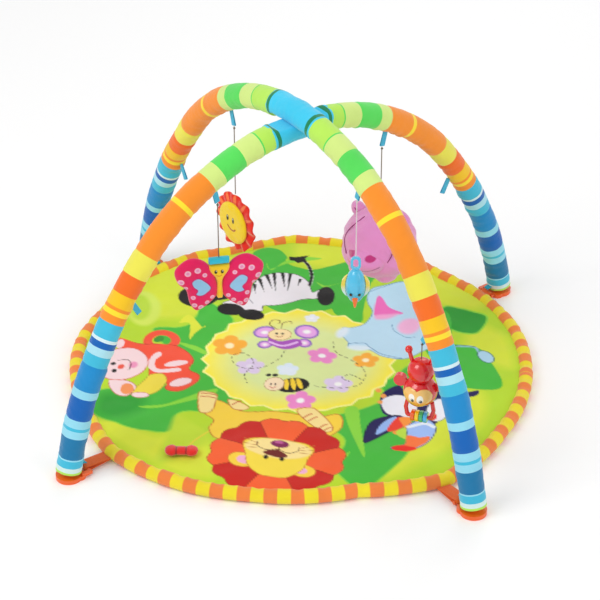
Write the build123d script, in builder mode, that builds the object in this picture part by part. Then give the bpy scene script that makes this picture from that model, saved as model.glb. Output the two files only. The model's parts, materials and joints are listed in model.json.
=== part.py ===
"""Activity play gym: a round padded mat under two crossed, padded arches that carry five hanging toys.

Millimetres, +Z up. The origin is the middle of the mat on the floor, and -Y is the front of the gym.
Each arch is two arcs a side, tangent to each other: a crown arc over the mat and a leg arc down to the foot.
"""

import os
from dataclasses import dataclass
from math import cos, degrees, pi, radians, sin, sqrt, tan

from build123d import *

# --- mat ---
MAT_RADIUS = 425.0
PIPING_DIAMETER = 26.0
MAT_COVER = 1.5  # thickness of the printed top and of the underlay
WADDING_THICKNESS = 16.0
BOW_CENTRE = (-167.0, -312.0)
BOW_TURN = 5.0
BOW_SIZE = (56.0, 26.0)
BOW_HEIGHT = 14.0

# --- arches ---
ARCH_HALF_SPAN = 488.0  # crossing axis to the centre of a foot
ARCH_RISE = 506.0  # lower arch, centre line of the sleeve from foot to crown
ARCH_STEP = 24.0  # the upper arch crosses this much higher
CROWN_ANGLE = 51.0  # slope where the crown arc meets the leg arc
FOOT_ANGLE = 79.0  # slope at the foot
FOOT_END_HEIGHT = 15.0  # height of the end of the centre line
LOWER_TURN = 44.0  # direction of the lower arch, from +X
UPPER_TURN = -46.0
CROSSING_Y = -36.0  # the arches cross a little in front of the middle of the mat

SLEEVE_DIAMETER = 44.0
SLEEVE_CLOTH = 1.7
POLE_DIAMETER = 9.0
PADDING_BORE = 18.0
CONNECTOR_DIAMETER = 15.0
CONNECTOR_REACH = 36.0  # from the crossing axis to a mouth of the connector
CONNECTOR_WEB = 7.0  # half of the solid middle, where the poles stop
CROWN_COVER_REACH = 60.0  # from the crossing axis to a seam of the crown cover
PIVOT_DIAMETER = 8.0
PIVOT_DEPTH = 4.0

# --- feet ---
SOLE_RADIUS = 23.0
SOLE_THICKNESS = 8.0
TOE_RADIUS = 10.0
TOE_OUT = 14.0
TOE_SIDE = 12.0
SOCKET_DIAMETER = 16.0
SOCKET_LENGTH = 42.0
HOOK_OUT = 31.0  # foot centre to the hook bar
HOOK_HEIGHT = 8.0
HOOK_DIAMETER = 6.4
HOOK_FREE_END = 17.0
HOOK_ARM_SIDE = 14.0
HOOK_ARM_WIDTH = 7.0
STRAP_WIDTH = 24.0
STRAP_CENTRE = -2.0
STRAP_THICKNESS = 1.4
HEM_TAB = (11.0, 14.0, 1.6)
HEM_TAB_HEIGHT = 20.0

# --- ribbon loops and hanging cords ---
RIBBON_WIDTH = 10.0
RIBBON_THICKNESS = 0.8
RIBBON_GAP = 1.6
LOOP_DROP = 28.0
CORD_DIAMETER = 1.8
KNOT_RADIUS = 2.2
KNOT_DROP = 3.5
CORD_START = 1.0  # the cord starts this far under the ribbon

# --- clearances ---
FIT = 0.06  # radial play of a pole, pivot or rod in its bore
CLEAR = 0.3  # between soft pieces
HOOK_PLAY = 0.8  # the strap's loop round the hook bar
CROWN_GAP = 0.3  # each crown cover stops this far from the plane where the arches cross
STUD_HOLE_PLAY = 1.0  # the foam stays this far from the pivot stud

# --- toys ---
TOY_PLAY = 0.3  # a cord stops this far above its toy
SHELL = 2.2


@dataclass
class Arch:
    """One arch: its name, its direction seen from above and the height of its crown."""

    name: str
    turn: float
    rise: float

    def __post_init__(self):
        crown, foot = radians(CROWN_ANGLE), radians(FOOT_ANGLE)
        a, b = sin(crown), sin(foot) - sin(crown)
        c, d = 1 - cos(crown), cos(crown) - cos(foot)
        size = a * d - b * c
        self.crown_radius = (ARCH_HALF_SPAN * d - self.rise * b) / size
        self.leg_radius = (self.rise * a - ARCH_HALF_SPAN * c) / size
        self.crown_length = self.crown_radius * crown
        self.length = self.crown_length + self.leg_radius * (foot - crown)
        self.crown_height = self.rise + FOOT_END_HEIGHT

    def out(self, side):
        """Unit vector from the crossing axis to the foot on this side, +1 or -1."""
        turn = radians(self.turn)
        return Vector(side * cos(turn), side * sin(turn), 0)

    def plane(self, side):
        """The arch's plane, with x outwards along the floor and y up."""
        x = self.out(side)
        return Plane(origin=(0, CROSSING_Y, 0), x_dir=x, z_dir=x.cross(Vector(0, 0, 1)))

    def slope(self, s):
        """Slope in radians at the distance s from the crown, along the centre line."""
        if s <= self.crown_length:
            return s / self.crown_radius
        return radians(CROWN_ANGLE) + (s - self.crown_length) / self.leg_radius

    def point(self, s):
        """Distance out and height of the centre line at the distance s from the crown."""
        crown = min(self.slope(s), radians(CROWN_ANGLE))
        out = self.crown_radius * sin(crown)
        height = self.crown_height - self.crown_radius * (1 - cos(crown))
        if s > self.crown_length:
            slope = self.slope(s)
            out += self.leg_radius * (sin(slope) - sin(crown))
            height -= self.leg_radius * (cos(crown) - cos(slope))
        return out, height


LOWER = Arch("lower_arch", LOWER_TURN, ARCH_RISE)
UPPER = Arch("upper_arch", UPPER_TURN, ARCH_RISE + ARCH_STEP)
FRONT_SIDE = {"lower_arch": -1, "upper_arch": 1}  # the arm that comes towards -Y
CROSSING_HEIGHT = (LOWER.crown_height + UPPER.crown_height) / 2

parts = {}


def keep(name, part):
    """Label a finished piece and remember it for export."""
    part.label = name
    parts[name] = part


# ---------------------------------------------------------------- mat


def disc(bottom, thickness, radius):
    with BuildPart() as layer:
        with BuildSketch(Plane.XY.offset(bottom)):
            Circle(radius)
        extrude(amount=thickness)
    return layer.part


piping_radius = PIPING_DIAMETER / 2
piping_centre = MAT_RADIUS - piping_radius
layer_radius = piping_centre - piping_radius - CLEAR
keep("mat_underlay", disc(0, MAT_COVER, layer_radius))
keep("mat_wadding", disc(MAT_COVER, WADDING_THICKNESS, layer_radius - MAT_COVER))
keep("mat_printed_top", disc(MAT_COVER + WADDING_THICKNESS, MAT_COVER, layer_radius))

with BuildPart() as mat_piping:
    with BuildSketch(Plane.XZ):
        with Locations((piping_centre, piping_radius)):
            Circle(piping_radius)
    revolve(axis=Axis.Z)
keep("mat_piping", mat_piping.part)


with BuildPart() as mat_bow:
    bow_floor = Plane(
        origin=(BOW_CENTRE[0], BOW_CENTRE[1], 2 * MAT_COVER + WADDING_THICKNESS + CLEAR),
        x_dir=(cos(radians(BOW_TURN)), sin(radians(BOW_TURN)), 0),
        z_dir=(0, 0, 1),
    )
    with BuildSketch(bow_floor):
        RectangleRounded(*BOW_SIZE, BOW_SIZE[1] / 3)
    extrude(amount=BOW_HEIGHT)
keep("mat_bow", mat_bow.part)


# ---------------------------------------------------------------- arches


def tube_along(arch, side, start, end, outer, inner=0.0):
    """A round tube, or a rod, that follows one arm of an arch between two distances from the crown."""
    with BuildPart() as tube:
        with BuildLine(arch.plane(side)) as path:
            for low, high, radius in (
                (start, min(end, arch.crown_length), arch.crown_radius),
                (max(start, arch.crown_length), end, arch.leg_radius),
            ):
                if high > low:
                    slope = arch.slope(low)
                    turn = -degrees(arch.slope(high) - slope)
                    JernArc(arch.point(low), (cos(slope), -sin(slope)), radius, turn)
        with BuildSketch(Plane(origin=path.line @ 0, z_dir=path.line % 0)):
            Circle(outer)
            if inner:
                Circle(inner, mode=Mode.SUBTRACT)
        sweep()
    return tube.part


def crown_tube(arch, reach, outer, inner=0.0):
    """A tube over the crown, to the same distance on both sides of the crossing axis."""
    with BuildPart() as tube:
        with BuildLine(arch.plane(1)) as path:
            slope = arch.slope(reach)
            out, height = arch.point(reach)
            JernArc((-out, height), (cos(slope), sin(slope)), arch.crown_radius, -2 * degrees(slope))
        with BuildSketch(Plane(origin=path.line @ 0, z_dir=path.line % 0)):
            Circle(outer)
            if inner:
                Circle(inner, mode=Mode.SUBTRACT)
        sweep()
    return tube.part


def half_at_crossing(arch, part):
    """The half of a crown piece on this arch's side of the plane where the two arches cross.

    A hole in its middle lets the pivot stud through.
    """
    is_lower = arch is LOWER
    height = CROSSING_HEIGHT - CROWN_GAP if is_lower else CROSSING_HEIGHT + CROWN_GAP
    with BuildPart() as half:
        add(part)
        split(bisect_by=Plane.XY.offset(height), keep=Keep.BOTTOM if is_lower else Keep.TOP)
        with BuildSketch(Plane(origin=(0, CROSSING_Y, LOWER.crown_height))):
            Circle(PIVOT_DIAMETER / 2 + STUD_HOLE_PLAY)
        extrude(amount=UPPER.crown_height - LOWER.crown_height, mode=Mode.SUBTRACT)
    return half.part


def crown_connector(arch):
    """A moulded tube that takes a pole from each side. The lower one has a pivot stud, the upper a socket."""
    bore = POLE_DIAMETER / 2 + FIT
    stud_low = arch.crown_height if arch is LOWER else arch.crown_height - CONNECTOR_DIAMETER / 2 - 1
    stud_top = UPPER.crown_height - CONNECTOR_DIAMETER / 2 + PIVOT_DEPTH
    body = crown_tube(arch, CONNECTOR_REACH, CONNECTOR_DIAMETER / 2)
    bores = [tube_along(arch, side, CONNECTOR_WEB, CONNECTOR_REACH + 1, bore) for side in (-1, 1)]
    with BuildPart() as connector:
        add(body)
        add(bores, mode=Mode.SUBTRACT)
        if arch is LOWER:
            with BuildSketch(Plane(origin=(0, CROSSING_Y, stud_low))):
                Circle(PIVOT_DIAMETER / 2)
            extrude(amount=stud_top - CLEAR - stud_low)
        else:
            with BuildSketch(Plane(origin=(0, CROSSING_Y, stud_low))):
                Circle(PIVOT_DIAMETER / 2 + FIT)
            extrude(amount=stud_top - stud_low, mode=Mode.SUBTRACT)
    return connector.part


def foot_plane(arch, side):
    """The floor under a foot, with x outwards and y to the left of x."""
    out = arch.out(side)
    return Plane(origin=Vector(0, CROSSING_Y, 0) + out * ARCH_HALF_SPAN, x_dir=out, z_dir=(0, 0, 1))


def foot_clip(arch, side):
    """A moulded foot: a sole with two toes, a socket for the pole and an open hook for the mat's strap."""
    floor = foot_plane(arch, side)
    hook_end = HOOK_ARM_SIDE + HOOK_ARM_WIDTH
    arm_start = HOOK_OUT + HOOK_DIAMETER / 2
    arm_length = arm_start - TOE_OUT
    socket_start = arch.length - SOCKET_LENGTH
    socket = tube_along(arch, side, socket_start, arch.length, SOCKET_DIAMETER / 2)
    bore = tube_along(arch, side, socket_start - 1, arch.length - CLEAR, POLE_DIAMETER / 2 + FIT)
    with BuildPart() as clip:
        with BuildSketch(floor):
            Circle(SOLE_RADIUS)
            with Locations((-TOE_OUT, TOE_SIDE), (-TOE_OUT, -TOE_SIDE)):
                Circle(TOE_RADIUS)
        extrude(amount=SOLE_THICKNESS)
        with BuildSketch(floor.offset(HOOK_HEIGHT - HOOK_DIAMETER / 2)):
            with Locations((-arm_start + arm_length / 2, HOOK_ARM_SIDE + HOOK_ARM_WIDTH / 2)):
                Rectangle(arm_length, HOOK_ARM_WIDTH)
        extrude(amount=HOOK_DIAMETER)
        bar_start = floor.from_local_coords(Vector(-HOOK_OUT, hook_end - 1, HOOK_HEIGHT))
        with BuildSketch(Plane(origin=bar_start, z_dir=-floor.y_dir)):
            Circle(HOOK_DIAMETER / 2)
        extrude(amount=hook_end - 1 + HOOK_FREE_END)
        with BuildSketch(floor.offset(SOLE_THICKNESS / 2)):
            Circle(SOCKET_DIAMETER / 2)
        extrude(amount=FOOT_END_HEIGHT - SOLE_THICKNESS / 2)
        add(socket)
        add(bore, mode=Mode.SUBTRACT)
    return clip.part


def hem_tab(arch, side):
    """The small folded tab sewn into the sleeve's hem, on the side of the mat."""
    length, width, thickness = HEM_TAB
    floor = foot_plane(arch, side)
    near = SLEEVE_DIAMETER / 2 + HEM_TAB_HEIGHT / tan(radians(FOOT_ANGLE)) / 2 + CLEAR
    with BuildPart() as tab:
        with BuildSketch(floor.offset(HEM_TAB_HEIGHT)):
            with Locations((-near - length / 2, 0)):
                Rectangle(length, width)
        extrude(amount=thickness)
    return tab.part


def mat_strap(arch, side):
    """Webbing from the mat's edge, folded round the hook bar."""
    floor = foot_plane(arch, side)
    along = Vector(0, CROSSING_Y, 0).dot(arch.out(side))
    edge = MAT_RADIUS + CLEAR
    reach_from_crossing = -along + sqrt(along**2 + edge**2 - CROSSING_Y**2)
    tail = ARCH_HALF_SPAN - HOOK_OUT - reach_from_crossing
    inner = HOOK_DIAMETER / 2 + HOOK_PLAY
    middle = floor.from_local_coords(Vector(-HOOK_OUT, STRAP_CENTRE, HOOK_HEIGHT))
    with BuildPart() as strap:
        with BuildSketch(Plane(origin=middle, x_dir=-floor.x_dir, z_dir=floor.y_dir)):
            Circle(inner + STRAP_THICKNESS)
            with Locations((tail / 2, 0)):
                Rectangle(tail, 2 * STRAP_THICKNESS)
            Circle(inner, mode=Mode.SUBTRACT)
        extrude(amount=STRAP_WIDTH / 2, both=True)
    return strap.part


@dataclass
class Loop:
    """A ribbon loop sewn under an arm, at the distance s from the crown."""

    arch: Arch
    side: int
    s: float

    def lean(self):
        """The loop hangs half way between straight down and square to the sleeve."""
        return self.arch.slope(self.s) / 2

    def at(self, drop):
        """Point on the loop's middle line, in space, this far below its root."""
        out, height = self.arch.point(self.s)
        slope, lean = self.arch.slope(self.s), self.lean()
        root = SLEEVE_DIAMETER / 2 + CLEAR + RIBBON_WIDTH / 2 * tan(slope - lean)
        out -= root * sin(slope) + drop * sin(lean)
        height -= root * cos(slope) + drop * cos(lean)
        return self.arch.plane(self.side).from_local_coords(Vector(out, height, 0))

    def build(self):
        plane = self.arch.plane(self.side)
        down = (self.at(LOOP_DROP) - self.at(0)).normalized()
        width = RIBBON_GAP + 2 * RIBBON_THICKNESS
        middle = self.at(LOOP_DROP / 2)
        with BuildPart() as ribbon:
            with BuildSketch(Plane(origin=middle, x_dir=plane.z_dir, z_dir=plane.z_dir.cross(down))):
                SlotOverall(LOOP_DROP, width, rotation=90)
                SlotOverall(LOOP_DROP - 2 * RIBBON_THICKNESS, RIBBON_GAP, rotation=90, mode=Mode.SUBTRACT)
            extrude(amount=RIBBON_WIDTH / 2, both=True)
        return ribbon.part


LOOPS = {
    "butterfly": Loop(LOWER, -1, 191),
    "lower_front_spare": Loop(LOWER, -1, 440),
    "hippo": Loop(LOWER, 1, 214),
    "lower_back_spare": Loop(LOWER, 1, 440),
    "bird": Loop(UPPER, 1, 188),
    "monkey": Loop(UPPER, 1, 472),
    "flower": Loop(UPPER, -1, 217),
    "upper_back_spare": Loop(UPPER, -1, 480),
}

for arch in (LOWER, UPPER):
    sleeve_outer = SLEEVE_DIAMETER / 2
    sleeve_inner = sleeve_outer - SLEEVE_CLOTH
    padding_outer = sleeve_inner - CLEAR
    sleeve_end = arch.length - CLEAR
    for place, side in (("front", FRONT_SIDE[arch.name]), ("back", -FRONT_SIDE[arch.name])):
        pole = tube_along(arch, side, CONNECTOR_WEB + CLEAR, arch.length - 2 * CLEAR, POLE_DIAMETER / 2)
        keep(f"{arch.name}_pole_{place}", pole)
        padding = tube_along(
            arch, side, CROWN_COVER_REACH + CLEAR, sleeve_end - 4, padding_outer, PADDING_BORE / 2
        )
        keep(f"{arch.name}_padding_{place}", padding)
        sleeve = tube_along(arch, side, CROWN_COVER_REACH + CLEAR, sleeve_end, sleeve_outer, sleeve_inner)
        keep(f"{arch.name}_sleeve_{place}", sleeve)
    keep(f"{arch.name}_connector", crown_connector(arch))
    crown_foam = crown_tube(arch, CROWN_COVER_REACH, padding_outer, PADDING_BORE / 2)
    keep(f"{arch.name}_crown_padding", half_at_crossing(arch, crown_foam))
    crown_cover = crown_tube(arch, CROWN_COVER_REACH, sleeve_outer, sleeve_inner)
    keep(f"{arch.name}_crown_cover", half_at_crossing(arch, crown_cover))
    keep(f"{arch.name}_foot_clips", Compound(children=[foot_clip(arch, side) for side in (-1, 1)]))
    keep(f"{arch.name}_hem_tabs", Compound(children=[hem_tab(arch, side) for side in (-1, 1)]))
    ribbons = [loop.build() for loop in LOOPS.values() if loop.arch is arch]
    keep(f"{arch.name}_ribbon_loops", Compound(children=ribbons))

straps = [mat_strap(arch, side) for arch in (LOWER, UPPER) for side in (-1, 1)]
keep("mat_foot_straps", Compound(children=straps))


# ---------------------------------------------------------------- toys


@dataclass
class Toy:
    """A toy on a cord: its cord's length, the way it faces, and its size above its own middle."""

    name: str
    cord: float
    facing: float
    top: float

    def eye(self):
        """Bottom of the ribbon loop, which the toy hangs from."""
        return LOOPS[self.name].at(LOOP_DROP)

    def middle(self):
        return self.eye() - Vector(0, 0, CORD_START + self.cord + TOY_PLAY + self.top)

    def front(self, forward=0.0):
        """The toy's own plane, seen from its front: x to the right, y up, z towards the viewer."""
        facing = radians(self.facing)
        normal = Vector(cos(facing), sin(facing), 0)
        return Plane(
            origin=self.middle() + normal * forward, x_dir=Vector(0, 0, 1).cross(normal), z_dir=normal
        )

    def hang(self):
        """The cord, with the knot that holds it to the ribbon."""
        with BuildPart() as cord:
            with BuildSketch(Plane(origin=self.eye() - Vector(0, 0, CORD_START))):
                Circle(CORD_DIAMETER / 2)
            extrude(amount=-self.cord)
            with Locations(self.eye() - Vector(0, 0, CORD_START + KNOT_DROP)):
                Sphere(KNOT_RADIUS)
        return cord.part


def egg(centre, radius, half_height, grow=0.0):
    """A closed egg shape, round seen from above. grow moves its whole surface outwards."""
    with BuildPart() as solid:
        Sphere(radius + grow)
        scale(by=(1, 1, (half_height + grow) / (radius + grow)))
    return Pos(centre) * solid.part


def less(part, cutter):
    with BuildPart() as rest:
        add(part)
        add(cutter, mode=Mode.SUBTRACT)
    return rest.part


# Flower: a ruffled ring of petals between a round face and a round back.
FLOWER_RADIUS = 58.0
FLOWER_FACE_RADIUS = 40.0
FLOWER_PETAL_THICKNESS = 13.0
FLOWER_PAD_THICKNESS = 9.0
FLOWER_PETALS = 12
flower = Toy("flower", 138, -136, FLOWER_RADIUS)

with BuildPart() as flower_petals:
    petal = FLOWER_RADIUS * pi / FLOWER_PETALS * 0.8
    with BuildSketch(flower.front()):
        Circle(FLOWER_RADIUS - petal)
        with PolarLocations(FLOWER_RADIUS - petal, FLOWER_PETALS, start_angle=90):
            Circle(petal)
    extrude(amount=FLOWER_PETAL_THICKNESS / 2, both=True)
keep("flower_petals", flower_petals.part)

for name, direction in (("flower_face", 1), ("flower_back", -1)):
    with BuildPart() as pad:
        with BuildSketch(flower.front(direction * (FLOWER_PETAL_THICKNESS / 2 + CLEAR))):
            Circle(FLOWER_FACE_RADIUS)
        extrude(amount=direction * FLOWER_PAD_THICKNESS)
    keep(name, pad.part)

# Butterfly: a pair of stuffed wings, a body with the head on it, and a cap that the cord comes out of.
WING_ROOT = ((6.3, -28), (6.3, 6))
WING_EDGE = ((22, 40), (50, 50), (76, 30), (72, 4), (58, -12), (52, -40), (38, -54))
WING_CORNER = 5.0
WING_THICKNESS = 18.0
BODY_HALF_WIDTH = 5.8
BODY_THICKNESS = 20.0
HEAD_HALF_WIDTH = 18.0
HEAD_HEIGHT = 30.0
CAP_SIZE = (36.0, 12.0, 14.0)
cap_width, cap_height, cap_depth = CAP_SIZE
head_bottom = WING_ROOT[1][1]
head_top = head_bottom + HEAD_HEIGHT
butterfly = Toy("butterfly", 106, -72, head_top + CLEAR + cap_height)

with BuildPart() as butterfly_wings:
    for direction in (1, -1):
        with BuildSketch(butterfly.front()):
            with BuildLine():
                (low_x, low_y), (high_x, high_y) = WING_ROOT
                edge = FilletPolyline(
                    (direction * high_x, high_y),
                    *[(direction * x, y) for x, y in WING_EDGE],
                    (direction * low_x, low_y),
                    radius=WING_CORNER,
                )
                Line(edge @ 1, edge @ 0)
            make_face()
        extrude(amount=WING_THICKNESS / 2, both=True)
keep("butterfly_wings", butterfly_wings.part)

with BuildPart() as butterfly_body:
    with BuildSketch(butterfly.front()):
        with BuildLine():
            Polyline(
                (-BODY_HALF_WIDTH, -32),
                (-BODY_HALF_WIDTH, head_bottom),
                (-HEAD_HALF_WIDTH, head_top),
                (HEAD_HALF_WIDTH, head_top),
                (BODY_HALF_WIDTH, head_bottom),
                (BODY_HALF_WIDTH, -32),
                close=True,
            )
        make_face()
    extrude(amount=BODY_THICKNESS / 2, both=True)
keep("butterfly_body", butterfly_body.part)

with BuildPart() as butterfly_cap:
    with BuildSketch(butterfly.front()):
        with Locations((0, head_top + CLEAR + cap_height / 2)):
            RectangleRounded(cap_width, cap_height, cap_height / 3)
    extrude(amount=cap_depth / 2, both=True)
keep("butterfly_cap", butterfly_cap.part)

# Hippo: a round stuffed body with four stub feet, and a muzzle and two ears sewn on.
HIPPO_RADIUS = 68.0
HIPPO_HALF_HEIGHT = 67.0
MUZZLE_RADIUS = 40.0
MUZZLE_HALF_HEIGHT = 26.0
MUZZLE_UP = -12.0
MUZZLE_OUT = 42.0
EAR_RADIUS = 15.0
EAR_SPOT = (44, 54)
STUB_RADIUS = 20.0
STUB_SPOT = (26, -56, 26)
hippo = Toy("hippo", 124, -111, HIPPO_HALF_HEIGHT)

stub_x, stub_y, stub_z = STUB_SPOT
hippo_egg = egg(hippo.middle(), HIPPO_RADIUS, HIPPO_HALF_HEIGHT)
hippo_skin = egg(hippo.middle(), HIPPO_RADIUS, HIPPO_HALF_HEIGHT, CLEAR)
with BuildPart() as hippo_feet:
    stub_spots = [(x, stub_y, z) for x in (-stub_x, stub_x) for z in (-stub_z, stub_z)]
    with Locations([hippo.front().from_local_coords(Vector(*spot)) for spot in stub_spots]):
        Sphere(STUB_RADIUS)
    add(hippo_skin, mode=Mode.SUBTRACT)
keep("hippo_body", Compound(children=[hippo_egg, *hippo_feet.solids()]))

muzzle_centre = hippo.front().from_local_coords(Vector(0, MUZZLE_UP, MUZZLE_OUT))
muzzle_egg = egg(muzzle_centre, MUZZLE_RADIUS, MUZZLE_HALF_HEIGHT)
keep("hippo_muzzle", less(muzzle_egg, hippo_skin))

ear_x, ear_y = EAR_SPOT
with BuildPart() as hippo_ears:
    with Locations([hippo.front().from_local_coords(Vector(x, ear_y, 0)) for x in (-ear_x, ear_x)]):
        Sphere(EAR_RADIUS)
    add(hippo_skin, mode=Mode.SUBTRACT)
keep("hippo_ears", hippo_ears.part)

# Bird: a moulded egg in two halves with pellets in it, a hanger ring, wings, a beak and two eyes.
BIRD_RADIUS = 17.5
BIRD_HALF_HEIGHT = 33.0
BIRD_WING_REACH = 24.5
BIRD_WING_HALF_HEIGHT = 25.0
BIRD_WING_THICKNESS = 6.0
HANGER_SIZE = (17.6, 26.0)
HANGER_BAND = 4.4
HANGER_SUNK = 1.5
BEAK_ROOT = (0, -16, 9)
BEAK_TIP = (0, -30, 23)
BEAK_RADIUS = 6.5
BIRD_EYE_OUT = 7.0
BIRD_EYE_UP = -9.0
BIRD_EYE_RADIUS = 2.6
bird_top = BIRD_HALF_HEIGHT + HANGER_SIZE[1] - HANGER_SUNK
bird = Toy("bird", 110, -86, bird_top)

bird_egg = egg(bird.middle(), BIRD_RADIUS, BIRD_HALF_HEIGHT)
bird_shell = less(bird_egg, egg(bird.middle(), BIRD_RADIUS, BIRD_HALF_HEIGHT, -SHELL))
bird_skin = egg(bird.middle(), BIRD_RADIUS, BIRD_HALF_HEIGHT, CLEAR / 2)
width, height = HANGER_SIZE
ring_middle = bird.middle() + Vector(0, 0, BIRD_HALF_HEIGHT + height / 2 - HANGER_SUNK)
ring_plane = Plane(origin=ring_middle, x_dir=bird.front().x_dir, z_dir=bird.front().z_dir)
for name, side, forward in (("bird_front_shell", Keep.TOP, 1), ("bird_back_shell", Keep.BOTTOM, -1)):
    with BuildPart() as shell_half:
        add(bird_shell)
        split(bisect_by=bird.front(), keep=side)
    with BuildPart() as hanger_half:
        with BuildSketch(ring_plane):
            SlotOverall(height, width, rotation=90)
            SlotOverall(height - 2 * HANGER_BAND, width - 2 * HANGER_BAND, rotation=90, mode=Mode.SUBTRACT)
        extrude(amount=forward * HANGER_BAND / 2)
        add(bird_egg, mode=Mode.SUBTRACT)
    with BuildPart() as bird_half:
        add(shell_half.part)
        add(hanger_half.part)
    keep(name, bird_half.part)

with BuildPart() as bird_wings:
    with BuildSketch(bird.front()):
        Ellipse(BIRD_WING_REACH, BIRD_WING_HALF_HEIGHT)
        Ellipse(BIRD_RADIUS + CLEAR, BIRD_HALF_HEIGHT + CLEAR, mode=Mode.SUBTRACT)
    extrude(amount=BIRD_WING_THICKNESS / 2, both=True)
keep("bird_wings", bird_wings.part)

with BuildPart() as beak:
    root = bird.front().from_local_coords(Vector(*BEAK_ROOT))
    tip = bird.front().from_local_coords(Vector(*BEAK_TIP)) - root
    with Locations(Plane(origin=root, z_dir=tip)):
        Cone(BEAK_RADIUS, BEAK_RADIUS / 4, tip.length, align=(Align.CENTER, Align.CENTER, Align.MIN))
keep("bird_beak", less(beak.part, bird_skin))


def on_egg(plane, radius, half_height, x, y, gap):
    """The plane that lies on an egg's surface at x and y, facing outwards, a gap away."""
    z = radius * sqrt(1 - (x / radius) ** 2 - (y / half_height) ** 2)
    normal = Vector(x / radius**2, y / half_height**2, z / radius**2).normalized()
    spot = plane.from_local_coords(Vector(x, y, z) + normal * gap)
    return Plane(origin=spot, z_dir=spot - plane.from_local_coords(Vector(x, y, z)))


with BuildPart() as bird_eyes:
    for x in (-BIRD_EYE_OUT, BIRD_EYE_OUT):
        eye = on_egg(bird.front(), BIRD_RADIUS, BIRD_HALF_HEIGHT, x, BIRD_EYE_UP, CLEAR / 2)
        with BuildSketch(eye):
            Circle(BIRD_EYE_RADIUS)
        extrude(amount=BIRD_EYE_RADIUS / 2)
keep("bird_eyes", bird_eyes.part)


def pellets(toy, radius, spots):
    """Loose rattle pellets, lying in the bottom of a shell."""
    with BuildPart() as loose:
        with Locations([toy.front().from_local_coords(Vector(*spot)) for spot in spots]):
            Sphere(radius)
    return loose.part


keep("bird_pellets", pellets(bird, 2.5, ((0, -26, 0), (-5.5, -22, 0), (5.5, -22, 0), (0, -21, 5.5))))

# Monkey: a moulded head in two halves, a face plate, a hat with two horns, and a handle that carries beads.
HEAD_RADIUS = 29.0
HEAD_HALF_HEIGHT = 27.0
EAR_DISC_RADIUS = 11.0
EAR_OUT = 36.0
EAR_UP = 12.0
EAR_DEPTH = 10.0
FACE_RADIUS = 15.0
FACE_FRONT = 30.5
HAT_RADIUS = 23.0
HAT_UP = 40.0
HAT_OPENING = 42.0  # the dome goes this many degrees below its widest place
HAT_SEAT_RADIUS = 14.0  # the recess under the hat, over the top of the head
HORN_OUT = 22.0
HORN_TOP = 85.0
HORN_BALL = 6.5
HORN_STEM = 3.6
HANDLE_HALF_WIDTH = 24.0
HANDLE_TOP_HALF_WIDTH = 21.0
HANDLE_TOP = -22.0  # beside the head's lower half
HANDLE_BEND = -38.0
HANDLE_BOTTOM = -54.0
HANDLE_WIRE = 3.6
BEAD_RADIUS = 10.0
BEAD_WIDTH = 6.8
BEAD_PITCH = 7.2
ROD_RADIUS = 2.2
BEADS = ("orange", "yellow", "green", "blue")
monkey = Toy("monkey", 32, -100, HAT_UP + HAT_RADIUS)

head_plane = monkey.front()
head_egg = egg(monkey.middle(), HEAD_RADIUS, HEAD_HALF_HEIGHT)
head_shell = less(head_egg, egg(monkey.middle(), HEAD_RADIUS, HEAD_HALF_HEIGHT, -SHELL))
head_skin = egg(monkey.middle(), HEAD_RADIUS, HEAD_HALF_HEIGHT, CLEAR / 2)
ear_root = egg(monkey.middle(), HEAD_RADIUS, HEAD_HALF_HEIGHT, -SHELL / 2)

with BuildPart() as monkey_front_shell:
    add(head_shell)
    split(bisect_by=head_plane, keep=Keep.TOP)
keep("monkey_front_shell", monkey_front_shell.part)

with BuildPart() as monkey_ears:
    with BuildSketch(monkey.front(-EAR_DEPTH)):
        with Locations((-EAR_OUT, EAR_UP), (EAR_OUT, EAR_UP)):
            Circle(EAR_DISC_RADIUS)
    extrude(amount=EAR_DEPTH - CLEAR)
    add(ear_root, mode=Mode.SUBTRACT)

with BuildPart() as monkey_back_shell:
    add(head_shell)
    split(bisect_by=head_plane, keep=Keep.BOTTOM)
    add(monkey_ears.part)
keep("monkey_back_shell", monkey_back_shell.part)

with BuildPart() as face:
    with BuildSketch(monkey.front(HEAD_RADIUS / 2)):
        with Locations((-10, 2), (10, 2)):
            Circle(FACE_RADIUS)
        with Locations((0, -8)):
            Circle(FACE_RADIUS)
    extrude(amount=FACE_FRONT - HEAD_RADIUS / 2)
keep("monkey_face", less(face.part, head_skin))

with BuildPart() as monkey_hat:
    with BuildSketch(head_plane):
        with BuildLine():
            dome = CenterArc((0, HAT_UP), HAT_RADIUS, start_angle=-HAT_OPENING, arc_size=90 + HAT_OPENING)
            seat = HEAD_HALF_HEIGHT + CLEAR
            Polyline(dome @ 1, (0, seat), (HAT_SEAT_RADIUS, seat), (HAT_SEAT_RADIUS, (dome @ 0).Y), dome @ 0)
        make_face()
    revolve(axis=Axis(head_plane.origin, head_plane.y_dir))
    for direction in (-1, 1):
        stem_start = head_plane.from_local_coords(Vector(direction * HORN_OUT * 0.6, HAT_UP + 8, 0))
        stem_end = head_plane.from_local_coords(Vector(direction * HORN_OUT, HORN_TOP - HORN_BALL, 0))
        stem = stem_end - stem_start
        with BuildSketch(Plane(origin=stem_start, z_dir=stem)):
            Circle(HORN_STEM)
        extrude(amount=stem.length)
        with Locations(stem_end):
            Sphere(HORN_BALL)
keep("monkey_hat", monkey_hat.part)

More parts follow.
